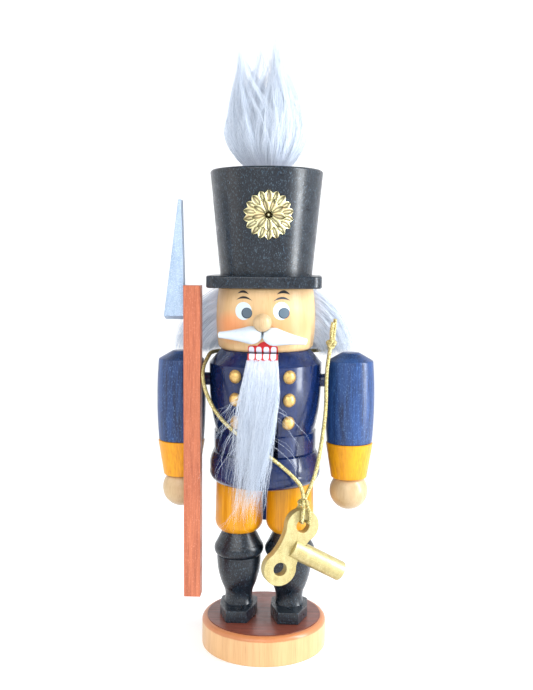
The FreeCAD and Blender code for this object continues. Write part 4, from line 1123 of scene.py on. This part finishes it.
@dataclass
class Plume(Fur):
    """Fur plume on the hat: a narrow root, a round belly and wispy tufts."""

    root_radius: float = 6.6
    belly: float = 15.2
    belly_rise: float = 20.0
    tufts: tuple[tuple[float, float, float, float, float], ...] = (
        (-12.8, -0.5, 58.0, 1.3, -11.2), (-5.6, 1.5, 64.6, 0.4, 1.4), (3.0, 0.0, 64.6, 0.8, 3.2),
        (6.2, 1.0, 63.0, 0.5, 4.6), (1.0, -3.5, 44.0, 1.0, 1.6), (-6.0, -3.0, 38.0, 0.9, -6.4),
        (9.0, -1.0, 42.0, 1.3, 9.4), (-11.5, -2.0, 45.0, 1.2, -12.0), (12.0, 1.0, 34.0, 0.9, 13.0),
        (-15.0, 1.0, 34.0, 0.9, -15.0), (-4.0, 4.0, 41.0, 0.9, -4.0), (4.0, 5.0, 47.0, 0.9, 4.5),
    )
    waist_rise: float = 43.0

    def locks(self, count: int, seed: int, shell: float) -> list[Lock]:
        """Locks from the root over the belly to the tufts.

        Args:
            count: how many.
            seed: fixed seed.
            shell: least share of the belly's radius that a lock reaches.

        Returns:
            The guide locks.
        """
        foot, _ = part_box("plume")
        base = foot.z / MM
        dice = random.Random(seed)
        weights = [tuft[3] for tuft in self.tufts]
        made = []
        for _ in range(count):
            turn = dice.uniform(0, 2 * math.pi)
            out = shell + (1 - shell) * dice.random() ** 0.5
            side = Vector((math.cos(turn), math.sin(turn), 0))
            near = [weight * math.exp(1.6 * (tuft[0] * side.x + tuft[1] * side.y) / 15.0)
                    for tuft, weight in zip(self.tufts, weights)]
            tip_x, tip_y, rise, _, waist = dice.choices(self.tufts, near)[0]
            reach = dice.uniform(0.92, 1.06)
            tip = Vector((tip_x + dice.gauss(0, 0.8), tip_y + dice.gauss(0, 1.1), base + rise * reach))
            root = side * self.root_radius * out + Vector((0.4, 0, base + 0.25))
            wide = self.belly * 1.6 * out
            made.append(lock_of([
                root,
                side * (self.root_radius + 0.62 * (wide - self.root_radius)) + Vector((0, 0, base + 8)),
                side * wide + Vector((-1.0, 0, base + self.belly_rise * 1.02)),
                Vector((0.2 * side.x * wide + 0.75 * tip.x, 0.2 * side.y * wide + 0.75 * tip.y,
                        base + 0.66 * rise * reach)),
                Vector((waist, tip.y, base + min(self.waist_rise, 0.8 * rise * reach))),
                tip,
            ], 1.3, 0.5))
        return made

    def build(self) -> list[bpy.types.Object]:
        """Both layers of the plume and its strays.

        Returns:
            The pieces.
        """
        foot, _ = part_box("plume")
        pieces = [
            self.grow("plume_fur_inner", self.locks(190, 11, 0.25), 20, 5, frizz=2.4, radius=0.06),
            self.grow("plume_fur_outer", self.locks(230, 23, 0.8), 16, 9, frizz=2.6, radius=0.06),
            self.grow("plume_strays", self.strays(foot.z / MM), 2, 3, frizz=3.0, radius=0.04),
        ]
        for piece in pieces:
            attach(piece, "figure")
        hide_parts("plume")
        return pieces

    def strays(self, base: float) -> list[Lock]:
        """Single hairs that stand away from the plume.

        Args:
            base: height of the hat's top.

        Returns:
            The guide locks.
        """
        dice = random.Random(41)
        made = []
        for _ in range(46):
            turn = dice.uniform(0, 2 * math.pi)
            side = Vector((math.cos(turn), math.sin(turn), 0))
            rise = dice.uniform(24, 50)
            made.append(lock_of([
                side * 10 + Vector((0, 0, base + 8)),
                side * 14.5 + Vector((0, 0, base + rise * 0.5)),
                side * dice.uniform(13, 22) + Vector((dice.gauss(0, 1.5), dice.gauss(0, 1.5), base + rise)),
            ], 0.5, 0.8))
        return made


@dataclass
class Hair(Fur):
    """Fur hair round the back and sides of the head, spreading over the shoulders."""

    head_radius: float = 22.2
    clear_radius: float = 24.5
    front_angle: float = 6.0

    def locks(self, side: int, count: int, seed: int) -> list[Lock]:
        """Locks of one half of the hair.

        Args:
            side: 1 for the figure's left, -1 for its right.
            count: how many.
            seed: fixed seed.

        Returns:
            The guide locks.
        """
        low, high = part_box("hair")
        floor, roof = low.z / MM, high.z / MM
        reach = (high.x if side > 0 else -low.x) / MM
        near = self.clear_radius
        dice = random.Random(seed)
        made = []
        for _ in range(count):
            turn = math.radians(self.front_angle + (92 - self.front_angle) * dice.random() ** 1.25)
            out = Vector((side * math.cos(turn), math.sin(turn), 0))
            high_root = dice.random() ** 0.7
            root_z = floor + 4 + (roof - floor - 5) * high_root
            shoulder = reach * math.cos(turn) ** 2 + high.y / MM * math.sin(turn) ** 2
            far = near + (shoulder - near) * (0.12 + 0.88 * high_root) * dice.uniform(0.85, 1.0)
            end = floor - 3.6 + 1.8 * dice.random()
            if turn > math.radians(50):
                end -= 5.0 * dice.random() * math.sin(turn)
            root = out * self.head_radius + Vector((0, 0, root_z))
            swing = Vector((0, dice.gauss(0, 1.2), 0))
            bow = 0.45 + 0.25 * high_root
            middle = out * (near + (far - near) * bow) + Vector((0, 0, root_z - 0.30 * (root_z - end)))
            hip = out * (near + (far - near) * 0.86) + Vector((0, 0, end + 0.34 * (root_z - end)))
            made.append(lock_of([root, middle, hip + swing, out * far + swing * 1.6 + Vector((0, 0, end))],
                                1.5, 1.7))
        return made

    def build(self) -> list[bpy.types.Object]:
        """Both halves of the hair.

        Returns:
            The pieces.
        """
        pieces = []
        for label, side, seed in (("left", 1, 61), ("right", -1, 67)):
            pieces.append(self.grow(f"hair_fur_{label}", self.locks(side, 290, seed), 13, seed,
                                    frizz=0.9, shortest=0.9, radius=0.10))
        for piece in pieces:
            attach(piece, "figure")
        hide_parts("hair")
        return pieces


@dataclass
class Beard(Fur):
    """Fur beard glued under the lip, hanging in front of the coat to wispy ends."""

    root_half: float = 6.3
    lip_depth: float = 24.1
    chin_depth: float = 28.2
    hang: float = 30.6
    stray_depth: float = 31.0

    def locks(self, count: int, seed: int) -> list[Lock]:
        """Locks from under the lip down the front.

        Args:
            count: how many.
            seed: fixed seed.

        Returns:
            The guide locks.
        """
        low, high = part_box("beard")
        root_z, tip_z = high.z / MM, low.z / MM
        dice = random.Random(seed)
        made = []
        for _ in range(count):
            across = dice.uniform(-1, 1)
            layer = dice.random()
            length = 0.42 + 0.72 * dice.random() ** 0.9
            end = root_z + (tip_z - 3.0 - root_z) * length
            share = (root_z - end) / (root_z - tip_z)
            depth = -self.hang + 0.9 * (1 - 2 * layer)
            tip_x = -1.2 - 4.6 * share + across * (5.6 - 1.8 * share) + dice.gauss(0, 1.9)
            made.append(lock_of([
                Vector((across * self.root_half, -self.lip_depth - 0.9 * layer, root_z + 2.4 - 2.6 * layer)),
                Vector((across * 7.2, -self.chin_depth - 0.9 * layer, root_z - 4.5)),
                Vector((-1.1 + across * 8.4 + dice.gauss(0, 1.0), depth - 0.4, root_z - 18)),
                Vector((-3.0 + across * 6.2 + dice.gauss(0, 1.2), depth, root_z + 0.62 * (end - root_z))),
                Vector((tip_x + 0.25 * across, depth, end + 5)),
                Vector((tip_x, depth + dice.gauss(0, 0.5), end)),
            ], 0.6, 1.3))
        return made

    def strays(self) -> list[Lock]:
        """Loose hairs that fan out at the sides and below.

        Returns:
            The guide locks.
        """
        low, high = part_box("beard")
        root_z, tip_z = high.z / MM, low.z / MM
        dice = random.Random(97)
        made = []
        for index in range(26):
            side = -1 if index % 5 else 1
            start = Vector((side * dice.uniform(3, 7) - 2, -self.stray_depth, root_z - dice.uniform(8, 34)))
            fall = dice.uniform(12, 34)
            out = side * dice.uniform(4, 17)
            made.append(lock_of([
                start,
                start + Vector((out * 0.5, -0.6, -fall * 0.1)),
                start + Vector((out, dice.uniform(-1.0, 0.6), -fall * 0.45)),
                start + Vector((out * dice.uniform(0.7, 1.25), dice.uniform(-1.0, 1.0), -fall)),
            ], 0.3, 1.0))
        for _ in range(16):
            start = Vector((dice.uniform(-11, 3), -self.stray_depth, tip_z + dice.uniform(2, 14)))
            made.append(lock_of([
                start, start + Vector((dice.gauss(0, 2), -0.3, -9)),
                start + Vector((dice.gauss(0, 6), 1.0, -dice.uniform(14, 24))),
            ], 0.3, 0.8))
        return made

    def build(self) -> list[bpy.types.Object]:
        """The beard and its strays, from under the lip down the coat.

        Returns:
            The pieces.
        """
        pieces = [
            self.grow("beard_fur", self.locks(230, 77), 16, 7, frizz=3.4, radius=0.06),
            self.grow("beard_strays", self.strays(), 2, 13, frizz=4.0, radius=0.034, shortest=0.5),
        ]
        for piece in pieces:
            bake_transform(piece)
        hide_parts("beard")
        return pieces


# ---------------------------------------------------------------------------------------------
# Gold cord
# ---------------------------------------------------------------------------------------------


@dataclass
class GoldCord:
    """The twisted gold cord round the neck, its knot, its cut ends and the hitch through the key."""

    finish: bpy.types.Material
    diameter: float = 1.8 * MM
    long_route: tuple[tuple[float, float, float], ...] = (
        (30.0, -8.0, 142.5), (30.0, 0.5, 140.6), (26.8, 9.5, 138.0), (19.5, 17.8, 136.6),
        (9.0, 24.2, 136.4), (-3.5, 25.6, 136.3), (-15.5, 20.9, 136.5), (-23.0, 11.5, 136.9),
        (-25.4, 1.5, 137.2), (-25.4, -8.6, 136.6), (-27.4, -16.6, 131.4), (-25.6, -21.0, 122.6),
        (-19.9, -24.6, 112.6), (-10.8, -27.0, 104.4), (-0.6, -27.7, 98.0), (8.0, -27.0, 91.4),
        (14.4, -25.8, 85.4), (18.2, -24.3, 80.2), (18.4, -23.1, 75.4),
    )
    short_route: tuple[tuple[float, float, float], ...] = (
        (19.0, -22.9, 75.4), (22.4, -22.6, 82.5), (24.8, -21.6, 91.5), (26.6, -18.4, 102.5),
        (28.0, -14.6, 114.5), (27.9, -11.4, 126.5), (28.6, -9.2, 135.6), (30.0, -8.0, 142.5),
    )
    front_tail: tuple[tuple[float, float, float], ...] = (
        (30.2, -8.8, 143.5), (29.6, -9.6, 147.6), (30.6, -9.4, 152.2))
    rear_tail: tuple[tuple[float, float, float], ...] = (
        (30.8, -7.2, 143.8), (31.4, -6.4, 148.6), (31.6, -6.9, 153.6))
    key_turn: float = 22.0
    key_hole: tuple[float, float, float] = (18.6, -22.9, 65.4)
    wrap_points: int = 12

    def route(self, name: str, points: Sequence[Sequence[float]], closed: bool = False) -> list[Vector]:
        """Points of the smooth NURBS line that has the given points as its control points.

        Args:
            name: a name for the line.
            points: control points in millimetres.
            closed: whether the line meets its own start.

        Returns:
            The points that Blender gives for it.
        """
        curve = bpy.data.curves.new(name, "CURVE")
        curve.dimensions = "3D"
        curve.resolution_u = 14
        spline = curve.splines.new("NURBS")
        spline.points.add(len(points) - 1)
        for slot, point in zip(spline.points, points):
            slot.co = (point[0] * MM, point[1] * MM, point[2] * MM, 1.0)
        spline.order_u = 3
        spline.use_cyclic_u = closed
        spline.use_endpoint_u = not closed
        worker = bpy.data.objects.new(name, curve)
        bpy.context.scene.collection.objects.link(worker)
        graph = bpy.context.evaluated_depsgraph_get()
        mesh = bpy.data.meshes.new_from_object(worker.evaluated_get(graph), depsgraph=graph)
        line = [vertex.co.copy() for vertex in mesh.vertices]
        if closed:
            line.append(line[0].copy())
        bpy.data.objects.remove(worker)
        bpy.data.meshes.remove(mesh)
        return line

    def twisted(self, name: str, lines: Sequence[list[Vector]], lay: float = 2.5,
                thin: float = 1.0) -> bpy.types.Object:
        """Twisted cord along one line or several.

        Args:
            name: the piece's name.
            lines: the centre lines.
            lay: length of one turn of the plies in millimetres.
            thin: share of the full thickness.

        Returns:
            The piece.
        """
        points, edges = [], []
        for line in lines:
            start = len(points)
            points += line
            edges += [(start + index, start + index + 1) for index in range(len(line) - 1)]
        radius = self.diameter / 2 * thin
        piece = grown(name, shape_mesh(name, points, edges=edges), "twisted_cord", {
            "Plies": 3, "Lay Length": lay * MM, "Ply Offset": radius * 0.54, "Ply Radius": radius * 0.52,
            "Step": 0.28 * MM, "Facets": 7,
        }, self.finish)
        return piece

    def knot(self) -> bpy.types.Object:
        """Overhand knot drawn tight, as a trefoil of the same cord.

        Returns:
            The knot.
        """
        low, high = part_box("cord_knot")
        centre = (low + high) / 2 / MM
        points = []
        for index in range(26):
            turn = 2 * math.pi * index / 26
            across = math.sin(turn) + 2 * math.sin(2 * turn)
            up = math.cos(turn) - 2 * math.cos(2 * turn)
            deep = -math.sin(3 * turn)
            points.append((centre.x + 0.62 * across, centre.y + 0.75 * deep, centre.z + 0.62 * up))
        piece = self.twisted("cord_knot_tied", [self.route("knot_line", points, closed=True)], thin=0.98)
        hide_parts("cord_knot")
        return piece

    def hitch(self) -> bpy.types.Object:
        """Loop through the key's hole, its two legs fanned over the rim and bound above it.

        Returns:
            The hitch.
        """
        _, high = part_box("cord_hitch")
        pivot = Vector(self.key_hole)
        turn = Matrix.Rotation(math.radians(self.key_turn), 3, "Z")
        top = high.z / MM - pivot.z
        lines = []
        for across, lean in ((-1.0, -1.7), (0.95, 1.5)):
            legs = [(across * 0.7, -1.2, top - 1.6), (across * 1.0, -2.9, top - 4.2),
                    (lean, -3.55, 4.6), (lean * 1.2, -3.5, 1.0), (lean * 0.9, -2.9, -0.1),
                    (lean * 0.6, 0.0, -0.15), (lean * 0.9, 2.9, -0.1), (lean * 1.2, 3.5, 1.0),
                    (lean, 3.4, 4.6), (across * 0.9, 2.4, top - 4.4), (across * 0.5, 0.8, top - 1.4)]
            placed = [turn @ Vector(leg) + pivot for leg in legs]
            lines.append(self.route("hitch_leg", placed))
        wrap = []
        for index in range(self.wrap_points):
            angle = 2 * math.pi * index / self.wrap_points
            height = top - 2.7 + 0.5 * math.sin(angle)
            wrap.append(turn @ Vector((2.1 * math.cos(angle), 1.9 * math.sin(angle), height)) + pivot)
        lines.append(self.route("hitch_wrap", wrap, closed=True))
        piece = self.twisted("cord_hitch_tied", lines, thin=0.92)
        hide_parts("cord_hitch")
        return piece

    def build(self) -> list[bpy.types.Object]:
        """Strands, knot, cut ends and hitch.

        Returns:
            The pieces.
        """
        long_line = self.route("long_line", self.long_route)
        short_line = self.route("short_line", self.short_route)
        long_strand = self.twisted("cord_neck_strand", [long_line])
        short_strand = self.twisted("cord_key_strand", [short_line])
        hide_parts("cord_long_strand")
        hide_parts("cord_short_strand")
        tails = []
        for label, points in (("front", self.front_tail), ("rear", self.rear_tail)):
            tail = self.twisted(f"cord_end_{label}", [self.route("tail_line", points)], thin=0.95)
            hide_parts(f"cord_tail_{label}")
            tails.append(tail)
        knot, hitch = self.knot(), self.hitch()
        pieces = [long_strand, short_strand, *tails, knot, hitch]
        for piece in pieces:
            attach(piece, "figure")
        return pieces


# ---------------------------------------------------------------------------------------------
# Rosette
# ---------------------------------------------------------------------------------------------


@dataclass
class Rosette:
    """Stamped rosette on the hat: nine raised petals over two rings of pointed leaves."""

    finish: bpy.types.Material
    petals: int = 9
    leaves: int = 9
    radius: float = 10.5
    drop: float = 1.0
    hat_bottom: float = 20.9
    hat_top: float = 25.5
    petal_length: float = 5.7
    petal_width: float = 2.05
    turn: float = 5.4
    rows: int = 22
    columns: int = 17

    def leaf(self, name: str, start: float, end: float, half: float, height: float, rim: float,
             belly: float) -> bpy.types.Mesh:
        """One raised leaf that lies along +Z, with a raised outline, an open hollow and a mid rib.

        Args:
            name: the mesh's name.
            start: where it begins from the centre.
            end: where its point is.
            half: its half width.
            height: height of its outline.
            rim: share of the half width that the outline takes.
            belly: share of its length at which it is widest.

        Returns:
            The leaf's mesh, with its height as the attribute that sets its painted shade.
        """
        points, lit_levels = [], []
        for row in range(self.rows):
            share = row / (self.rows - 1)
            if share < belly:
                wide = math.sin(0.5 * math.pi * share / belly) ** 0.8
            else:
                wide = math.cos(0.5 * math.pi * (share - belly) / (1 - belly)) ** 0.8
            for column in range(self.columns):
                across = 2 * column / (self.columns - 1) - 1
                edge = 1 - abs(across)
                crest = math.exp(-((edge - rim) / (rim * 0.75)) ** 2)
                ridge = math.sin(math.pi * min(1.0, share * 1.1)) ** 0.6
                rib = 0.62 * math.exp(-(across / 0.16) ** 2) * ridge
                lift = max(crest, rib, 0.28) * (0.35 + 0.65 * math.sin(math.pi * (0.12 + 0.8 * share)))
                lift *= 0.0 if edge < 1e-6 else 1.0
                points.append((across * half * wide * MM, -lift * height * MM,
                               (start + (end - start) * share) * MM))
                lit_levels.append(lift)
        faces = []
        for row in range(self.rows - 1):
            for column in range(self.columns - 1):
                corner = row * self.columns + column
                faces.append((corner, corner + 1, corner + self.columns + 1, corner + self.columns))
        mesh = shape_mesh(name, points, faces)
        mesh.attributes.new("stamp_lit_level", "FLOAT", "POINT").data.foreach_set("value", lit_levels)
        return mesh

    def dish(self) -> bpy.types.Mesh:
        """Scalloped sheet behind the leaves, with a small boss in the middle.

        Returns:
            The dish's mesh.
        """
        rings, spokes = 20, 144
        points, lit_levels = [(0.0, -0.95 * MM, 0.0)], [0.9]
        for ring in range(1, rings + 1):
            share = ring / rings
            for spoke in range(spokes):
                turn = 2 * math.pi * spoke / spokes
                notch = abs(((spoke / spokes * 2 * self.leaves) % 1.0) - 0.5) * 2
                reach = share * (self.radius - 1.9 * (1 - notch) * share ** 6)
                boss = 0.95 * max(0.0, 1 - (reach / 1.3) ** 2)
                beads = 0.35 * max(0.0, math.cos(turn * 9)) * math.exp(-((reach - 1.9) / 0.5) ** 2)
                lift = max(0.12, boss, beads)
                points.append((reach * math.sin(turn) * MM, -lift * MM, reach * math.cos(turn) * MM))
                # Painted shade: the middle of the dish behind the leaves gets a low level, and the scallop
                # notches a lower one than the tips, so they are painted darker.
                lit_levels.append(0.12 if share < 0.75 else 0.5 + 0.4 * notch)
        mesh = shape_mesh("rosette_dish", points, disc_faces(spokes, rings))
        mesh.attributes.new("stamp_lit_level", "FLOAT", "POINT").data.foreach_set("value", lit_levels)
        return mesh

    def build(self) -> bpy.types.Object:
        """Stamp, wrap and join the layers.

        Returns:
            The rosette.
        """
        hat_low, hat_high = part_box("hat")
        low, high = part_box("hat_rosette")
        bottom, top = self.hat_bottom * MM, self.hat_top * MM
        cone = {"Height": (low.z + high.z) / 2 - self.drop * MM, "Turn": math.radians(self.turn),
                "Cone Bottom": bottom + 0.05 * MM, "Cone Foot": hat_low.z,
                "Cone Slope": (top - bottom) / (hat_high.z - hat_low.z)}
        outer = self.leaf("rosette_leaf", 4.4, self.radius + 0.1, 2.15, 0.85, 0.34, 0.62)
        inner = self.leaf("rosette_petal", 1.3, 1.3 + self.petal_length, self.petal_width, 1.05, 0.30, 0.66)
        step = math.pi / self.leaves
        layers = [
            grown("rosette_back", self.dish(), "round_stamp", {
                **cone, "Count": 1, "Lift": 0.1 * MM}, self.finish),
            grown("rosette_low", outer, "round_stamp", {
                **cone, "Count": self.leaves, "First Angle": step, "Lift": 0.15 * MM}, self.finish),
            grown("rosette_high", outer.copy(), "round_stamp", {
                **cone, "Count": self.leaves, "First Angle": 0.0, "Lift": 0.32 * MM}, self.finish),
            grown("rosette_petals", inner, "round_stamp", {
                **cone, "Count": self.petals, "First Angle": step, "Lift": 0.85 * MM}, self.finish),
        ]
        piece = joined("rosette_stamped", layers)
        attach(piece, "figure")
        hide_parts("hat_rosette")
        return piece


# ---------------------------------------------------------------------------------------------
# Wooden parts
# ---------------------------------------------------------------------------------------------


@dataclass
class WoodenParts:
    """The turned and sawn parts: which finish each CAD piece takes, and which edges are eased."""

    frame: dict[str, Any]
    finishes: dict[str, bpy.types.Material] = field(default_factory=dict)

    def dress(self, finish: str, *nodes: str) -> None:
        """Give CAD pieces a finish.

        Args:
            finish: the finish's name.
            nodes: the pieces.
        """
        for node in nodes:
            mesh = self.frame["nodes"][node].data
            mesh.materials.clear()
            mesh.materials.append(self.finishes[finish])

    def ease(self, finish: str, radius: float, body: str, slot: str, *nodes: str) -> None:
        """Stand an edge-rounded copy for each CAD piece.

        Args:
            finish: the finish's name.
            radius: the rounding in millimetres.
            body: the body it rides on.
            slot: not used.
            nodes: the pieces.
        """
        for node in nodes:
            piece = eased_copy(node, node + "_eased", radius * MM, self.finishes[finish])
            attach(piece, body)

    def build(self) -> None:
        """Dress every wooden part."""
        sides = ("left", "right")
        self.dress("plinth", "base_disc")
        self.dress("black", "hat", "visor", *(f"boot_{side}" for side in sides))
        self.ease("black", 0.35, "figure", "black_stain", *(f"shoe_{side}" for side in sides))
        self.dress("yellow", *(f"{part}_{side}" for part in ("breeches", "cuff") for side in sides))
        self.dress("coat", "coat_body")
        self.dress("jaw", "jaw_lever")
        self.dress("sleeve", *(f"sleeve_{side}" for side in sides))
        self.dress("face", "head_block")
        self.dress("natural", "nose", *(f"hand_{side}" for side in sides))
        self.dress("white", *(f"moustache_{side}" for side in sides))
        rows = ("top", "middle", "bottom")
        self.dress("button", *(f"coat_button_{side}_{row}" for side in sides for row in rows))
        self.dress("coat", *(f"arm_dowel_{side}" for side in sides))
        self.dress("dowel", "hat_dowel", "plume_pin", "halberd_pin",
                   *(f"{part}_dowel_{side}" for part in ("leg", "neck", "hand") for side in sides))
        self.dress("steel", "pivot_pin")
        self.ease("copper", 0.4, "figure", "copper_stain", "halberd_shaft")
        self.ease("silver", 0.25, "figure", "silver_paint", "halberd_blade")
        self.ease("gold", 0.3, "key", "gold_paint", "key_plate", "key_barrel")


LACQUER_BLUE: Colour = (0.004, 0.017, 0.085)
LACQUER_DARK: Colour = (0.002, 0.007, 0.036)


def wood_finishes() -> dict[str, bpy.types.Material]:
    """Every wood and paint finish by name.

    Returns:
        The materials.
    """
    return {
        "plinth": StainedPlinth("pale_plinth", (0.66, 0.40, 0.19), (0.50, 0.27, 0.11), 0.55, 0.34,
                                0.3).material(),
        "black": StainedWood("black_stain", (0.006, 0.010, 0.017), (0.003, 0.004, 0.007), 0.8, 0.31, 0.3,
                             0.24, 0.05, pore_glint=0.6, pore_glint_colour=(0.09, 0.15, 0.21)).material(),
        "yellow": StainedWood("yellow_stain", (0.76, 0.34, 0.004), (0.56, 0.20, 0.002), 0.8, 0.36,
                              0.2).material(),
        "coat": StainedWood("dark_blue_lacquer", LACQUER_BLUE, LACQUER_DARK, 0.8, 0.24, 0.35, 0.12, 0.03,
                            pore_glint=0.12, pore_glint_colour=(0.05, 0.09, 0.30)).material(),
        "jaw": PaintedJaw("painted_jaw", LACQUER_BLUE, LACQUER_DARK, 0.8, 0.30, 0.2, 0.12, 0.03).material(),
        "sleeve": StainedWood("blue_stain", (0.016, 0.058, 0.20), (0.005, 0.014, 0.055), 1.0, 0.34, 0.25, 0.3,
                              0.05, pore_glint=0.45, pore_glint_colour=(0.13, 0.27, 0.52)).material(),
        "face": PaintedFace("painted_face", (0.64, 0.43, 0.22), (0.53, 0.33, 0.145), 0.6, 0.46,
                            0.12).material(),
        "natural": StainedWood("natural_maple", (0.54, 0.39, 0.22), (0.44, 0.29, 0.14), 0.6, 0.36,
                               0.3).material(),
        "white": StainedWood("white_lacquer", (0.60, 0.68, 0.75), (0.54, 0.62, 0.70), 0.25, 0.32, 0.3,
                             grain=Grain.ACROSS).material(),
        "button": MetallicPaint("gold_brown_paint", (0.62, 0.42, 0.15), (0.42, 0.23, 0.07), 0.65,
                                0.36).material(),
        "gold": MetallicPaint("pale_gold_paint", (0.52, 0.45, 0.22), (0.42, 0.34, 0.14), 0.6,
                              0.40).material(),
        "silver": MetallicPaint("silver_blue_paint", (0.36, 0.45, 0.58), (0.28, 0.37, 0.50), 0.5, 0.46,
                                0.7).material(),
        "copper": StainedWood("copper_stain", (0.56, 0.17, 0.08), (0.34, 0.08, 0.035), 0.8, 0.40, 0.25, 0.3,
                              0.08, pore_glint=0.35, pore_glint_colour=(0.80, 0.36, 0.24), fibre=2200.0,
                              band=420.0).material(),
        "dowel": StainedWood("bare_dowel", (0.72, 0.55, 0.34), (0.58, 0.40, 0.22), 0.5, 0.6, 0.0).material(),
        "steel": MetallicPaint("bare_steel", (0.52, 0.52, 0.53), (0.40, 0.40, 0.42), 1.0, 0.3,
                               0.1).material(),
    }


# ---------------------------------------------------------------------------------------------
# Studio
# ---------------------------------------------------------------------------------------------


@dataclass
class Studio:
    """Pale sweep, soft lights and the camera."""

    camera_place: tuple[float, float, float] = (0.02340, -0.41133, 0.18170)
    lens: float = 46.96
    yaw: float = 3.2
    pitch: float = 84.35
    roll: float = 0.4
    sweep_glow: float = 0.25
    sky_strength: float = 0.20

    def sweep(self) -> bpy.types.Object:
        """Pale floor that curves up into a round backdrop.

        Returns:
            The sweep.
        """
        bend, flat, wall, spokes, steps = 0.5, 1.0, 1.9, 64, 12
        profile = [(0.4, 0.0), (flat, 0.0)]
        for index in range(1, steps + 1):
            angle = 0.5 * math.pi * index / steps
            profile.append((flat + bend * math.sin(angle), bend * (1 - math.cos(angle))))
        profile.append((flat + bend, wall))
        points = [(0.0, 0.0, 0.0)]
        for reach, z in profile:
            for spoke in range(spokes):
                turn = 2 * math.pi * spoke / spokes
                points.append((reach * math.cos(turn), reach * math.sin(turn), z))
        faces = disc_faces(spokes, len(profile))
        material, bench, shader, place = begin_material("pale_sweep")
        bench.feed(shader.inputs["Base Color"], bench.mix(bench.noise(place, 3.0), (0.86, 0.87, 0.88),
                                                          (0.89, 0.89, 0.90)))
        shader.inputs["Roughness"].default_value = 0.9
        shader.inputs["Emission Color"].default_value = (1.0, 1.0, 1.0, 1.0)
        shader.inputs["Emission Strength"].default_value = self.sweep_glow
        sweep = place_object("studio_sweep", shape_mesh("studio_sweep", points, faces), material)
        return sweep

    def light(self, name: str, place: Sequence[float], aim: Sequence[float], size: tuple[float, float],
              power: float, colour: Colour) -> None:
        """Rectangular area light.

        Args:
            name: the light's name.
            place: where it stands.
            aim: the point it faces.
            size: width and height.
            power: watts.
            colour: its tint.
        """
        data = bpy.data.lights.new(name, "AREA")
        data.shape = "RECTANGLE"
        data.size, data.size_y = size
        data.energy = power
        data.color = colour
        lamp = bpy.data.objects.new(name, data)
        lamp.location = place
        lamp.rotation_euler = (Vector(aim) - Vector(place)).to_track_quat("-Z", "Y").to_euler()
        bpy.context.scene.collection.objects.link(lamp)

    def build(self) -> None:
        """Camera, lights, sky and sweep."""
        data = bpy.data.cameras.new("camera")
        data.lens = self.lens
        data.sensor_width = 36.0
        camera = bpy.data.objects.new("camera", data)
        turn = (Matrix.Rotation(math.radians(self.yaw), 4, "Z")
                @ Matrix.Rotation(math.radians(self.pitch), 4, "X")
                @ Matrix.Rotation(math.radians(self.roll), 4, "Z"))
        camera.matrix_world = Matrix.Translation(self.camera_place) @ turn
        bpy.context.scene.collection.objects.link(camera)
        bpy.context.scene.camera = camera
        bpy.context.scene.view_settings.view_transform = "Standard"
        self.sweep()
        aim = (0.0, 0.0, 0.14)
        self.light("window_light", (0.62, -0.16, 0.34), aim, (0.16, 0.75), 8.0, (0.93, 0.97, 1.0))
        self.light("front_light", (-0.12, -0.75, 0.62), aim, (0.8, 0.6), 4.4, (1.0, 0.99, 0.97))
        self.light("left_light", (-0.70, -0.25, 0.40), aim, (0.4, 0.7), 0.9, (1.0, 0.93, 0.86))
        world = bpy.data.worlds.new("studio_sky")
        world.use_nodes = True
        bench = Bench(world.node_tree)
        world.node_tree.nodes.clear()
        sky = bench.add("ShaderNodeBackground", {"Color": (0.93, 0.96, 1.0), "Strength": self.sky_strength})
        bench.add("ShaderNodeOutputWorld", {"Surface": sky.outputs[0]})
        bpy.context.scene.world = world


def main() -> None:
    """Load the frame, build every sub-assembly and report it."""
    logging.basicConfig(level=logging.INFO, format="%(name)s: %(message)s")
    for thing in list(bpy.data.objects):
        bpy.data.objects.remove(thing)
    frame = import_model()
    for make in (make_wood_figure, make_paint_spot, make_paint_stroke, make_fur_tree, make_cord_tree,
                 make_stamp_tree):
        make()
    Studio().build()
    gold = GoldThread("gold_thread").material()
    for piece in GoldCord(gold).build():
        LOG.info("%s: %d faces", piece.name, len(piece.data.polygons))
    WoodenParts(frame, wood_finishes()).build()
    LOG.info("%s", Rosette(StampedSheet("stamped_sheet").material()).build().name)
    white = FurFinish("white_fur", (0.76, 0.83, 0.93), (0.40, 0.47, 0.58), (0.74, 0.77, 0.88)).material()
    for fur in (Plume(white), Hair(white), Beard(white)):
        for piece in fur.build():
            LOG.info("%s: %d faces", piece.name, len(piece.data.polygons))


if __name__ == "__main__":
    main()
